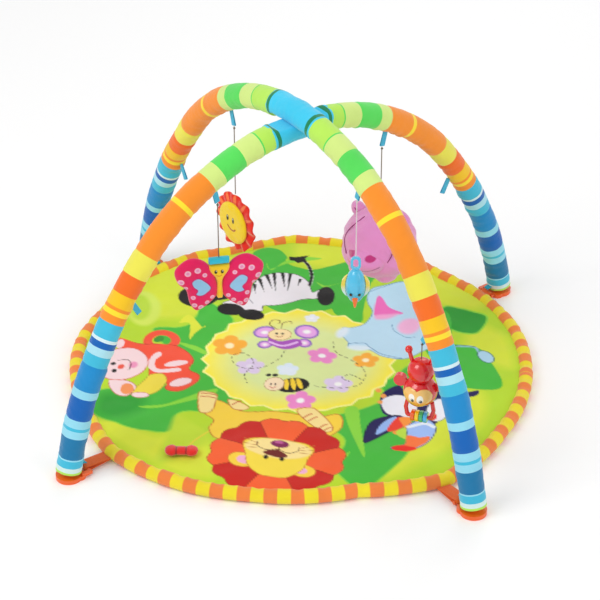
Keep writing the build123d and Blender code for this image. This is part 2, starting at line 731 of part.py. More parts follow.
rod_half = len(BEADS) * BEAD_PITCH / 2 + 1
with BuildPart() as monkey_handle:
    for direction in (-1, 1):
        with BuildLine(head_plane) as bend:
            FilletPolyline(
                (direction * HANDLE_TOP_HALF_WIDTH, HANDLE_TOP),
                (direction * HANDLE_HALF_WIDTH, HANDLE_BEND),
                (direction * (rod_half + HANDLE_WIRE + 2), HANDLE_BOTTOM),
                (direction * rod_half, HANDLE_BOTTOM),
                radius=[6, 3],
            )
        with BuildSketch(Plane(origin=bend.line @ 0, z_dir=bend.line % 0)):
            Circle(HANDLE_WIRE)
        sweep()
    rod_start = head_plane.from_local_coords(Vector(-rod_half - 2, HANDLE_BOTTOM, 0))
    with BuildSketch(Plane(origin=rod_start, z_dir=head_plane.x_dir)):
        Circle(ROD_RADIUS)
    extrude(amount=2 * (rod_half + 2))
keep("monkey_handle", monkey_handle.part)

for i, colour in enumerate(BEADS):
    centre = (i - (len(BEADS) - 1) / 2) * BEAD_PITCH
    start = head_plane.from_local_coords(Vector(centre - BEAD_WIDTH / 2, HANDLE_BOTTOM, 0))
    with BuildPart() as bead:
        with BuildSketch(Plane(origin=start, z_dir=head_plane.x_dir)):
            Circle(BEAD_RADIUS)
            Circle(ROD_RADIUS + FIT, mode=Mode.SUBTRACT)
        extrude(amount=BEAD_WIDTH)
        rims = bead.edges().filter_by(GeomType.CIRCLE).group_by(SortBy.RADIUS)[-1]
        fillet(rims, BEAD_WIDTH / 4)
    keep(f"monkey_bead_{colour}", bead.part)
keep("monkey_pellets", pellets(monkey, 3.5, ((0, -20, 0), (-8, -17, 0), (8, -17, 0), (0, -17, 9), (0, -17, -9))))

TOYS = (flower, butterfly, hippo, bird, monkey)
for toy in TOYS:
    keep(f"{toy.name}_cord", toy.hang())
    section = pi * (CORD_DIAMETER / 2) ** 2 * toy.cord
    print(f"{toy.name}_cord: length {toy.cord:.0f}, section x length {section:.1f} mm3")

os.makedirs("parts", exist_ok=True)
for name, part in parts.items():
    export_step(part, f"parts/{name}.step")
print(len(parts), "nodes")
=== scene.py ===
# %% [markdown]
# # A baby's activity play gym
# A round padded mat lies on the floor. Two padded arches cross over it, clip into orange feet, and carry
# five hanging toys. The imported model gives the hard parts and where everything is. This lesson adds what
# cloth, print, stuffing, string and gloss add to it. Lengths are in metres, and the floor is z = 0.

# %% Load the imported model
import json
import math

import bpy
import numpy as np
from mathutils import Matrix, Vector
from mathutils.geometry import delaunay_2d_cdt


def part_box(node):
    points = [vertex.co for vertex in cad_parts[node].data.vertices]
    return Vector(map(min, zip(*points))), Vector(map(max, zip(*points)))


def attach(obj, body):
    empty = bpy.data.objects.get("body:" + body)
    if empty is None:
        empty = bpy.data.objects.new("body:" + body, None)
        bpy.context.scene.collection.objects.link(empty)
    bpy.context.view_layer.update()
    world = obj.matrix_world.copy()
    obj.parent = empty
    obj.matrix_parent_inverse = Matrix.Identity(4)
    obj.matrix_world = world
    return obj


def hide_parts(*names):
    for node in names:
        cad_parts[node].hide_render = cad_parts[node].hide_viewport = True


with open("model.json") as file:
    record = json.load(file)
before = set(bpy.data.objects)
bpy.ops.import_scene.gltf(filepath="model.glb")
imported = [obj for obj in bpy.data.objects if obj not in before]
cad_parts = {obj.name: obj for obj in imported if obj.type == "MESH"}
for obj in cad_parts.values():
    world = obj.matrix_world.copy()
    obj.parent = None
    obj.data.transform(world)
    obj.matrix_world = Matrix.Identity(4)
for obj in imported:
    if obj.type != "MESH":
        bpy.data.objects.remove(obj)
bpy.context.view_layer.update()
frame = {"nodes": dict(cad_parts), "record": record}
joints = {joint["name"]: joint for joint in frame["record"]["behaviour"]["joints"]}
MM = 0.001

# %% [markdown]
# ## Light, floor and camera
# The gym is shown on a plain white floor under big soft lamps, so that the cloth's own colours carry the
# picture. One large lamp above and to the left models the tubes, and a bright world fills the shadows.

# %% The floor
floor_mesh = bpy.data.meshes.new("floor")
reach = 6.0
floor_mesh.from_pydata(
    [(-reach, -reach, 0), (reach, -reach, 0), (reach, reach, 0), (-reach, reach, 0)], [], [(0, 1, 2, 3)]
)
floor = bpy.data.objects.new("floor", floor_mesh)
bpy.context.scene.collection.objects.link(floor)

floor_paint = bpy.data.materials.new("white paper")
floor_paint.use_nodes = True
floor_shader = floor_paint.node_tree.nodes["Principled BSDF"]
floor_shader.inputs["Base Color"].default_value = (1, 1, 1, 1)
floor_shader.inputs["Roughness"].default_value = 0.9
floor_mesh.materials.append(floor_paint)

# %% Lamps and world
bpy.context.scene.view_settings.view_transform = "Standard"  # keeps the cloth's own vivid colours
WORLD_LIGHT = 0.72


def lamp(name, place, target, size, power):
    """A square area lamp that points at the target."""
    light = bpy.data.lights.new(name, "AREA")
    light.size = size
    light.energy = power
    holder = bpy.data.objects.new(name, light)
    holder.location = place
    holder.rotation_euler = (Vector(target) - Vector(place)).to_track_quat("-Z", "Y").to_euler()
    bpy.context.scene.collection.objects.link(holder)


middle = (0, 0, 0.2)
lamp("key lamp", (-1.6, -1.4, 2.6), middle, 1.6, 30)
lamp("fill lamp", (2.2, -1.6, 1.6), middle, 2.0, 12)
lamp("back lamp", (0.4, 2.2, 2.2), middle, 1.6, 12)

world = bpy.data.worlds.new("studio")
bpy.context.scene.world = world
world.use_nodes = True
world.node_tree.nodes["Background"].inputs["Color"].default_value = (1, 1, 1, 1)
world.node_tree.nodes["Background"].inputs["Strength"].default_value = WORLD_LIGHT

# %% [markdown]
# The camera stands in front, a little to the right, and looks down at the mat from about 33 degrees. It is
# far away behind a long lens, so that the near foot is hardly larger than the far one.

# %% The camera
CAMERA_TURN = math.radians(7.0)
CAMERA_RISE = math.radians(33.06)
CAMERA_DISTANCE = 3.932
CAMERA_TARGET = Vector((-0.0116, 0.0941, 0.0846))
backwards = Vector(
    (
        math.sin(CAMERA_TURN) * math.cos(CAMERA_RISE),
        -math.cos(CAMERA_TURN) * math.cos(CAMERA_RISE),
        math.sin(CAMERA_RISE),
    )
)
camera_data = bpy.data.cameras.new("camera")
camera_data.lens = 127.2
camera_data.sensor_width = 36
camera_data.clip_end = 50
camera = bpy.data.objects.new("camera", camera_data)
camera.location = CAMERA_TARGET + CAMERA_DISTANCE * backwards
camera.rotation_euler = backwards.to_track_quat("Z", "Y").to_euler()
bpy.context.scene.collection.objects.link(camera)
bpy.context.scene.camera = camera

# %% [markdown]
# ## Building blocks
# Every piece below is a mesh that is worked out in code. A helper turns arrays of points and faces into
# an object, smooths its shading, says which body it moves with and hides the imported nodes it stands for.


# %% From arrays to a piece
def piece(name, points, faces, body, material, instead_of=()):
    """A mesh object from points in metres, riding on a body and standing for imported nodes."""
    mesh = bpy.data.meshes.new(name)
    mesh.from_pydata([tuple(point) for point in points], [], [tuple(face) for face in faces])
    mesh.validate()
    mesh.polygons.foreach_set("use_smooth", [True] * len(mesh.polygons))
    mesh.materials.append(material)
    made = bpy.data.objects.new(name, mesh)
    bpy.context.scene.collection.objects.link(made)
    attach(made, body)
    if instead_of:
        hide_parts(*instead_of)
    return made


def linear(colour):
    """An sRGB colour, 0 to 255, as linear light."""
    value = np.asarray(colour, float) / 255
    return np.where(value <= 0.04045, value / 12.92, ((value + 0.055) / 1.055) ** 2.4)


def rgba(colour):
    return (*linear(colour), 1.0)


def paint_points(made, name, colours):
    """Stores one linear colour for each point of a mesh."""
    layer = made.data.color_attributes.new(name, "FLOAT_COLOR", "POINT")
    filled = np.ones((len(colours), 4), np.float32)
    filled[:, :3] = colours
    layer.data.foreach_set("color", filled.ravel())


def number_points(made, name, values):
    """Stores one number for each point of a mesh."""
    layer = made.data.attributes.new(name, "FLOAT", "POINT")
    layer.data.foreach_set("value", np.asarray(values, np.float32))


# %% [markdown]
# ## Cloth in general
# Cloth looks like cloth because of three things: a fine weave that breaks up the light, small changes of
# colour, and a soft glow at grazing angles. The first two are one node group, so every cloth here can use
# it with its own scale. The glow is the sheen of the shader, which each material sets for itself.


# %% The weave group
def weave_group():
    """A group: Colour and Scale in; the varied Colour and a Height for bump out."""
    group = bpy.data.node_groups.new("weave", "ShaderNodeTree")
    group.interface.new_socket("Colour", in_out="INPUT", socket_type="NodeSocketColor")
    scale = group.interface.new_socket("Scale", in_out="INPUT", socket_type="NodeSocketFloat")
    scale.default_value = 900.0
    vary = group.interface.new_socket("Variation", in_out="INPUT", socket_type="NodeSocketFloat")
    vary.default_value = 0.12
    group.interface.new_socket("Colour", in_out="OUTPUT", socket_type="NodeSocketColor")
    group.interface.new_socket("Height", in_out="OUTPUT", socket_type="NodeSocketFloat")
    nodes, links = group.nodes, group.links
    start, end = nodes.new("NodeGroupInput"), nodes.new("NodeGroupOutput")
    place = nodes.new("ShaderNodeTexCoord")
    heights = []
    for direction in ("X", "Y"):
        wave = nodes.new("ShaderNodeTexWave")
        wave.wave_type = "BANDS"
        wave.bands_direction = direction
        wave.inputs["Distortion"].default_value = 1.5
        wave.inputs["Detail"].default_value = 1.0
        links.new(place.outputs["Object"], wave.inputs["Vector"])
        links.new(start.outputs["Scale"], wave.inputs["Scale"])
        heights.append(wave.outputs["Fac"])
    both = nodes.new("ShaderNodeMath")
    both.operation = "MULTIPLY"
    links.new(heights[0], both.inputs[0])
    links.new(heights[1], both.inputs[1])
    patches = nodes.new("ShaderNodeTexNoise")
    patches.inputs["Scale"].default_value = 14.0
    patches.inputs["Detail"].default_value = 5.0
    links.new(place.outputs["Object"], patches.inputs["Vector"])
    centred = nodes.new("ShaderNodeMath")
    centred.operation = "SUBTRACT"
    centred.inputs[1].default_value = 0.5
    links.new(patches.outputs["Fac"], centred.inputs[0])
    amount = nodes.new("ShaderNodeMath")
    amount.operation = "MULTIPLY_ADD"
    amount.inputs[2].default_value = 1.0
    links.new(centred.outputs[0], amount.inputs[0])
    links.new(start.outputs["Variation"], amount.inputs[1])
    tint = nodes.new("ShaderNodeVectorMath")
    tint.operation = "SCALE"
    links.new(start.outputs["Colour"], tint.inputs[0])
    links.new(amount.outputs[0], tint.inputs["Scale"])
    links.new(tint.outputs[0], end.inputs["Colour"])
    links.new(both.outputs[0], end.inputs["Height"])
    return group


weave = weave_group()


# %% A cloth material
def cloth(name, colour=None, attribute=None, scale=900.0, variation=0.3, bump=0.3, sheen=0.25, rough=0.85):
    """A woven material, of one colour or of a colour that is painted on the mesh."""
    material = bpy.data.materials.new(name)
    material.use_nodes = True
    nodes, links = material.node_tree.nodes, material.node_tree.links
    shader = nodes["Principled BSDF"]
    shader.inputs["Roughness"].default_value = rough
    shader.inputs["Sheen Weight"].default_value = sheen
    shader.inputs["Sheen Roughness"].default_value = 0.5
    shader.inputs["Specular IOR Level"].default_value = 0.25
    woven = nodes.new("ShaderNodeGroup")
    woven.node_tree = weave
    woven.inputs["Scale"].default_value = scale
    woven.inputs["Variation"].default_value = variation
    if attribute:
        painted = nodes.new("ShaderNodeAttribute")
        painted.attribute_name = attribute
        links.new(painted.outputs["Color"], woven.inputs["Colour"])
    else:
        woven.inputs["Colour"].default_value = rgba(colour)
    raised = nodes.new("ShaderNodeBump")
    raised.inputs["Strength"].default_value = bump
    raised.inputs["Distance"].default_value = 0.0004
    links.new(woven.outputs["Colour"], shader.inputs["Base Color"])
    links.new(woven.outputs["Height"], raised.inputs["Height"])
    links.new(raised.outputs["Normal"], shader.inputs["Normal"])
    return material


# %% [markdown]
# ## Hard plastic
# The feet and the rattles are injection moulded. Such plastic is smooth and coloured all through, with a
# clear gloss on the toys. A little unevenness in the roughness keeps the highlights from looking like
# glass.


# %% A plastic material
def plastic(name, colour=None, attribute=None, rough=0.25, coat=0.5):
    """Moulded plastic with a faint unevenness in its gloss."""
    material = bpy.data.materials.new(name)
    material.use_nodes = True
    nodes, links = material.node_tree.nodes, material.node_tree.links
    shader = nodes["Principled BSDF"]
    shader.inputs["Coat Weight"].default_value = coat
    shader.inputs["Coat Roughness"].default_value = 0.08
    if attribute:
        painted = nodes.new("ShaderNodeAttribute")
        painted.attribute_name = attribute
        links.new(painted.outputs["Color"], shader.inputs["Base Color"])
    else:
        shader.inputs["Base Color"].default_value = rgba(colour)
    place = nodes.new("ShaderNodeTexCoord")
    uneven = nodes.new("ShaderNodeTexNoise")
    uneven.inputs["Scale"].default_value = 60.0
    uneven.inputs["Detail"].default_value = 3.0
    spread = nodes.new("ShaderNodeMapRange")
    spread.inputs["To Min"].default_value = rough * 0.8
    spread.inputs["To Max"].default_value = rough * 1.3
    links.new(place.outputs["Object"], uneven.inputs["Vector"])
    links.new(uneven.outputs["Fac"], spread.inputs["Value"])
    links.new(spread.outputs["Result"], shader.inputs["Roughness"])
    return material


def dress(node, material):
    """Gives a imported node's own object a finish."""
    shown = frame["nodes"][node]
    shown.data.materials.clear()
    shown.data.materials.append(material)


# %% [markdown]
# ## Hanging cords
# Each toy hangs from a ribbon loop on a thin cord that its weight pulls straight. A cord is a curve with
# a round bevel, and the knot that ties it to the ribbon is a small twist of the same string.

# %% The five cords
CORD_THICKNESS = 1.8 * MM
KNOT_DROP = 3.5 * MM  # from the top of the cord to its knot
brown_twine = cloth("brown twine", (120, 100, 80), scale=2500, bump=0.6)
white_string = cloth("white string", (235, 235, 235), scale=2500, bump=0.6)


def hanging_cord(toy, material):
    """The straight cord of a toy, from its ribbon loop down to the toy's top."""
    node = f"{toy}_cord"
    eye = Vector(joints[f"{toy}_swing"]["pos_m"])
    low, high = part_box(node)
    top = Vector((eye.x, eye.y, high[2]))
    length = high[2] - low[2]
    curve = bpy.data.curves.new(f"{toy}_string", "CURVE")
    curve.dimensions = "3D"
    curve.bevel_depth = CORD_THICKNESS / 2
    curve.bevel_resolution = 3
    curve.use_fill_caps = True
    spline = curve.splines.new("NURBS")
    fractions = (0, 0.25, 0.5, 0.75, 1)
    spline.points.add(len(fractions) - 1)
    for point, fraction in zip(spline.points, fractions):
        point.co = (top.x, top.y, top.z - length * fraction, 1)
    spline.order_u = 3
    spline.use_endpoint_u = True
    curve.materials.append(material)
    string = bpy.data.objects.new(f"{toy}_string", curve)
    bpy.context.scene.collection.objects.link(string)
    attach(string, node)
    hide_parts(node)
    knot = knot_piece(f"{toy}_knot", top - Vector((0, 0, KNOT_DROP)), node, material)
    print(f"{toy}: cord {length * 1000:.0f} mm")


def knot_piece(name, centre, body, material):
    """A small overhand knot: a tube along a twisted loop."""
    turns = np.linspace(0, 2 * math.pi, 60, endpoint=False)
    loop = np.stack(
        [np.sin(turns) + 2 * np.sin(2 * turns), np.cos(turns) - 2 * np.cos(2 * turns), -np.sin(3 * turns)], 1
    )
    line = np.array(centre) + loop * 0.62 * MM
    points, faces = tube(line, np.full(len(line), 0.7 * MM), 8, closed=True)
    return piece(name, points, faces, body, material)


def frames_along(line, closed=False):
    """Tangents, and two directions square to them that don't twist, at each point of a line."""
    ahead = np.roll(line, -1, 0) - np.roll(line, 1, 0)
    if not closed:
        ahead[0], ahead[-1] = line[1] - line[0], line[-1] - line[-2]
    ahead /= np.linalg.norm(ahead, axis=1)[:, None]
    across = np.zeros_like(ahead)
    guess = np.cross(ahead[0], (0.3, 0.1, 1.0))
    for i, tangent in enumerate(ahead):
        guess = guess - tangent * guess.dot(tangent)
        guess = guess / np.linalg.norm(guess)
        across[i] = guess
    return ahead, across, np.cross(ahead, across)


def tube(line, radii, sides, closed=False):
    """Points and faces of a round tube along a line, with a radius at each point."""
    line = np.asarray(line, float)
    _, across, upwards = frames_along(line, closed)
    angle = np.linspace(0, 2 * math.pi, sides, endpoint=False)
    ring = np.cos(angle)[None, :, None] * across[:, None] + np.sin(angle)[None, :, None] * upwards[:, None]
    points = (line[:, None] + ring * np.asarray(radii)[:, None, None]).reshape(-1, 3)
    rows = len(line)
    faces = []
    for i in range(rows if closed else rows - 1):
        for j in range(sides):
            k, next_row = (j + 1) % sides, (i + 1) % rows
            faces.append((i * sides + j, i * sides + k, next_row * sides + k, next_row * sides + j))
    if not closed:
        faces.append(tuple(range(sides))[::-1])
        faces.append(tuple((rows - 1) * sides + j for j in range(sides)))
    return points, faces


TOYS = ("flower", "butterfly", "hippo", "bird", "monkey")
for toy in TOYS:
    if toy == "bird":
        hanging_cord(toy, white_string)
    else:
        hanging_cord(toy, brown_twine)

# %% [markdown]
# ## Printing on cloth
# The mat and the toys carry flat prints with clean outlines. An image would do it on a press. Here a
# print is painted straight onto the points of a fine mesh: each shape is an outline, and a point takes
# the shape's colour by how far it is inside. The edge is soft over about one mesh cell, so it doesn't
# show steps.


# %% The painter
def rounded(outline, steps=6, closed=True):
    """A smooth curve through a few points, as a list of many points."""
    outline = np.asarray(outline, float)
    count = len(outline)
    last = count if closed else count - 1
    curve = []
    for i in range(last):
        if closed:
            a, b, c, d = (outline[(i + k) % count] for k in (-1, 0, 1, 2))
        else:
            a, b, c, d = (outline[min(max(i + k, 0), count - 1)] for k in (-1, 0, 1, 2))
        for t in np.arange(steps) / steps:
            curve.append(
                0.5
                * (2 * b + (c - a) * t + (2 * a - 5 * b + 4 * c - d) * t**2 + (3 * b - a - 3 * c + d) * t**3)
            )
    if not closed:
        curve.append(outline[-1])
    return np.array(curve)


def distance_to(outline, spots, closed=True):
    """How far each spot is from an outline's edge."""
    starts = outline if closed else outline[:-1]
    ends = np.roll(outline, -1, 0) if closed else outline[1:]
    best = np.full(len(spots), 1e9)
    for a, b in zip(starts, ends):
        along = b - a
        share = np.clip((spots - a) @ along / max(along @ along, 1e-12), 0, 1)
        best = np.minimum(best, np.linalg.norm(spots - a - share[:, None] * along, axis=1))
    return best


def inside(outline, spots):
    """True for each spot inside a closed outline."""
    x, y = spots[:, 0], spots[:, 1]
    result = np.zeros(len(spots), bool)
    for a, b in zip(outline, np.roll(outline, -1, 0)):
        crosses = (a[1] > y) != (b[1] > y)
        with np.errstate(divide="ignore", invalid="ignore"):
            where = a[0] + (y - a[1]) * (b[0] - a[0]) / (b[1] - a[1])
        result ^= crosses & (x < where)
    return result


class Print:
    """Colours for flat spots, in the print's own units of a millimetre."""

    def __init__(self, spots, ground, soft=1.6):
        self.spots = np.asarray(spots, float)
        self.colour = np.tile(linear(ground), (len(self.spots), 1))
        self.soft = soft

    def lay(self, near, depth, colour, soft, share):
        cover = np.clip(0.5 + depth / soft, 0, 1) * share
        self.colour[near] += (linear(colour) - self.colour[near]) * cover[:, None]

    def near(self, outline, margin):
        low, high = outline.min(0) - margin, outline.max(0) + margin
        return np.where(((self.spots > low) & (self.spots < high)).all(1))[0]

    def fill(self, outline, colour, smooth=True, soft=None, share=1.0, edge=None, edge_width=2.0):
        """Fills an outline, and draws its edge line if it has one."""
        outline = rounded(outline) if smooth else np.asarray(outline, float)
        soft = soft or self.soft
        near = self.near(outline, soft + edge_width)
        if len(near):
            depth = distance_to(outline, self.spots[near])
            signed = np.where(inside(outline, self.spots[near]), depth, -depth)
            self.lay(near, signed, colour, soft, share)
            if edge:
                self.lay(near, edge_width / 2 - depth, edge, self.soft, 1.0)
        return self

    def oval(self, x, y, wide, high, colour, turn=0.0, **options):
        """Fills an oval, given by its middle, half sizes and turn in degrees."""
        t = np.linspace(0, 2 * math.pi, 28, endpoint=False)
        c, s = math.cos(math.radians(turn)), math.sin(math.radians(turn))
        u, v = wide * np.cos(t), high * np.sin(t)
        return self.fill(np.stack([x + u * c - v * s, y + u * s + v * c], 1), colour, smooth=False, **options)

    def line(self, points, colour, width=2.0, smooth=True, dashes=None):
        """Draws a line, whole or in dashes of a given length."""
        path = rounded(points, closed=False) if smooth else np.asarray(points, float)
        near = self.near(path, width + self.soft)
        if len(near) == 0:
            return self
        if dashes:
            steps = np.linalg.norm(np.diff(path, axis=0), axis=1)
            run = np.concatenate([[0], np.cumsum(steps)])
            for start in np.arange(0, run[-1], 2 * dashes):
                ends = [start, min(start + dashes, run[-1])]
                bit = np.stack([np.interp(ends, run, path[:, k]) for k in (0, 1)], 1)
                self.lay(near, width / 2 - distance_to(bit, self.spots[near], False), colour, self.soft, 1.0)
        else:
            self.lay(near, width / 2 - distance_to(path, self.spots[near], False), colour, self.soft, 1.0)
        return self

# %% [markdown]
# ## The mat
# The mat is a printed cotton top over wadding, with a striped binding sewn round it. Sewing pulls the edge
# in here and lets it bulge there, so the outline is a wavy circle. Both the top and the binding follow
# one function that gives the outline's radius in each direction.

# %% The mat's wavy outline
ROOT = "mat_and_lower_arch"
EDGE = (
    (-161, 421), (-145, 427), (-133, 438), (-123, 434), (-109, 426), (-95, 415), (-82, 412), (-69, 407),
    (-58, 425), (-48, 444), (-36, 434), (-24, 426), (0, 426), (21, 426), (38, 421), (53, 411), (61, 415),
    (87, 426), (99, 434), (109, 420), (117, 413), (126, 424), (144, 429), (162, 415), (178, 424), (190, 422),
)
edge_turns = np.array([turn for turn, _ in EDGE], float)
edge_radii = np.array([radius for _, radius in EDGE], float)


def mat_edge(turn):
    """The outline's radius in millimetres in a direction given in degrees."""
    turn = (np.asarray(turn, float) + 161) % 360 - 161
    turns = np.concatenate([edge_turns, [edge_turns[0] + 360]])
    radii = np.concatenate([edge_radii, [edge_radii[0]]])
    return np.interp(turn, turns, radii)


def unevenness(x, y, seed, size, waves=10):
    """Smooth random hills of about one unit, from a few crossing waves."""
    random = np.random.default_rng(seed)
    total = np.zeros_like(np.asarray(x, float))
    for _ in range(waves):
        turn, shift = random.uniform(0, 2 * math.pi, 2)
        length = size * random.uniform(0.6, 1.6)
        total += np.sin((x * math.cos(turn) + y * math.sin(turn)) * 2 * math.pi / length + shift)
    return total / math.sqrt(waves)


# %% A round cloth that follows the outline
top_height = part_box("mat_printed_top")[1][2] / MM
PIPING = (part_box("mat_piping")[1][2] / MM) / 2  # radius of the binding


def mat_cloth(spacing, inset, height):
    """Points and faces of a flat cloth inside the outline, on a square grid with a clean rim."""
    around = np.linspace(-math.pi, math.pi, 420, endpoint=False)
    rim_radius = mat_edge(np.degrees(around)) - inset
    rim = np.stack([rim_radius * np.cos(around), rim_radius * np.sin(around)], 1)
    steps = np.arange(-450, 450, spacing)
    x, y = (axis.ravel() for axis in np.meshgrid(steps, steps))
    within = np.hypot(x, y) < mat_edge(np.degrees(np.arctan2(y, x))) - inset - spacing * 0.7
    spots = np.concatenate([rim, np.stack([x[within], y[within]], 1)])
    edges = [(i, (i + 1) % len(rim)) for i in range(len(rim))]
    flat, _, faces, *_ = delaunay_2d_cdt([Vector(spot) for spot in spots], edges, [], 1, 1e-6)
    flat = np.array(flat)
    z = height(flat[:, 0], flat[:, 1])
    return np.column_stack([flat, z]) * MM, faces, flat


def top_surface(x, y):
    """The padded top: low hills, and a roll down to the binding."""
    radius = np.hypot(x, y)
    rim = np.clip((mat_edge(np.degrees(np.arctan2(y, x))) - PIPING - radius) / 40, 0, 1)
    hills = 1.5 * unevenness(x, y, 3, 170) + 0.45 * unevenness(x, y, 8, 45)
    return top_height - 1.0 + (hills + 0.5) * rim - 3.5 * (1 - rim) ** 2


# %% [markdown]
# The print shows a jungle floor with a bright clearing. The animals are simplified nursery shapes: a lion,
# a zebra, a monkey, a toucan and an elephant, with a bee, a butterfly and flowers in the clearing. Each one
# is a short function, so that a shape is easy to find and change.

# %% Jungle ground and leaves
LIME, YELLOW_LIME = (186, 221, 44), (225, 232, 60)
LEAF, DARK_LEAF, LIGHT_LEAF = (70, 188, 60), (44, 160, 48), (140, 218, 62)
BLACK, WHITE = (18, 14, 16), (250, 250, 250)


def leaves(mat):
    pale = (
        ((-330, 250), (-240, 330), (-160, 330), (-200, 230), (-190, 140), (-260, 100), (-330, 120)),
        ((-50, 410), (60, 400), (150, 390), (160, 330), (60, 310), (-40, 330)),
        ((190, 330), (270, 300), (330, 240), (300, 200), (210, 230)),
        ((310, 150), (370, 120), (390, 20), (340, 30), (300, 60)),
        ((-330, -180), (-320, -260), (-220, -330), (-190, -270), (-250, -250)),
        ((180, -330), (240, -290), (340, -160), (330, -60), (250, -160)),
        ((-210, -330), (-150, -370), (-100, -360), (-140, -250), (-190, -240)),
    )
    for outline in pale:
        mat.fill(outline, YELLOW_LIME, soft=26, share=0.75)
    mat.oval(-315, 130, 32, 60, (215, 235, 95), turn=12, soft=10)
    mat.oval(-322, 132, 20, 44, (192, 224, 60), turn=12, soft=10)
    left = (
        (-345, -140), (-346, -205), (-296, -238), (-250, -252), (-198, -247), (-193, -193), (-140, -180),
        (-100, -150), (-140, -80), (-165, 0), (-150, 80), (-140, 112), (-175, 150), (-205, 165), (-215, 100),
        (-235, 76), (-285, 62), (-245, 0), (-195, -60), (-250, -130),
    )
    mat.fill(left, LEAF, edge=LIGHT_LEAF, edge_width=3)
    mat.fill(((-335, -150), (-340, -205), (-300, -225), (-260, -190), (-265, -150)), DARK_LEAF, soft=30)
    mat.fill(((-266, -182), (-230, -182), (-150, -140), (-135, -115), (-150, -118), (-215, -168)), LIGHT_LEAF)
    mat.fill(((-235, 25), (-200, 5), (-170, -10), (-170, 0), (-200, 20)), LIGHT_LEAF)
    mat.fill(((-225, 120), (-195, 80), (-190, 85), (-205, 60), (-212, 40), (-220, 90), (-240, 90)),
             YELLOW_LIME)
    back = (
        (-138, 350), (-118, 376), (-88, 372), (-68, 345), (-66, 325), (-20, 305), (20, 322), (60, 345),
        (90, 330), (100, 290), (60, 240), (40, 170), (-60, 150), (-150, 250), (-120, 300),
    )
    mat.fill(back, LEAF)
    mat.fill(((-105, 320), (-96, 300), (-60, 325), (0, 345), (-30, 350), (-70, 330), (-92, 296)), LIGHT_LEAF)
    mat.fill(((0, 262), (20, 250), (44, 262), (20, 244), (26, 235), (14, 244)), LIGHT_LEAF)
    mat.fill(((40, 170), (60, 290), (100, 310), (150, 330), (158, 318), (110, 290), (100, 190),
              (97, 132)), LEAF)
    right = ((252, 205), (300, 196), (334, 180), (322, 130), (300, 118), (272, 128), (250, 150))
    mat.fill(right, DARK_LEAF, edge=LIGHT_LEAF, edge_width=4)
    mat.fill(((262, 75), (320, 76), (345, 38), (372, -42), (325, -58), (285, -40), (262, 10)), LEAF)
    mat.fill(((220, 190), (262, 180), (270, 80), (250, 30), (225, 60)), LEAF)
    low = (
        (52, -172), (84, -166), (128, -142), (168, -100), (150, -62), (175, -40), (200, 0), (226, 0),
        (205, -80), (230, -160), (222, -250), (196, -310), (150, -366), (100, -322), (108, -240), (70, -200),
    )
    mat.fill(low, LEAF, edge=LIGHT_LEAF, edge_width=3)
    mat.fill(((98, -150), (120, -140), (130, -190), (147, -286), (118, -220)), LIGHT_LEAF)
    mat.fill(((104, -285), (120, -272), (118, -284), (112, -286), (106, -296)), LIGHT_LEAF, smooth=False)
    mat.fill(((-205, -340), (-150, -300), (-130, -260), (-190, -200), (-200, -250)), (196, 224, 52), soft=14)


def clearing(mat):
    edge = []
    rough = np.random.default_rng(11)
    for turn in np.arange(0, 360, 7.5):
        wide, high = (178, 165) if turn % 15 else (170, 157)
        edge.append((
            -2 + (wide + rough.uniform(-4, 4)) * math.cos(math.radians(turn)),
            -3 + (high + rough.uniform(-4, 4)) * math.sin(math.radians(turn)),
        ))
    mat.fill(edge, (252, 238, 70), smooth=False, edge=(255, 250, 150), edge_width=4)
    mat.oval(-2, -3, 140, 128, (221, 235, 160), soft=60)


def blossom(mat, x, y, size, colour, heart):
    for turn in range(18, 378, 72):
        reach = size * 0.62
        mat.oval(
            x + reach * math.cos(math.radians(turn)), y + reach * math.sin(math.radians(turn)),
            size * 0.42, size * 0.42, colour, soft=3,
        )
    mat.oval(x, y, size * 0.5, size * 0.5, colour, soft=3)
    mat.oval(x, y, size * 0.26, size * 0.26, heart, soft=3)


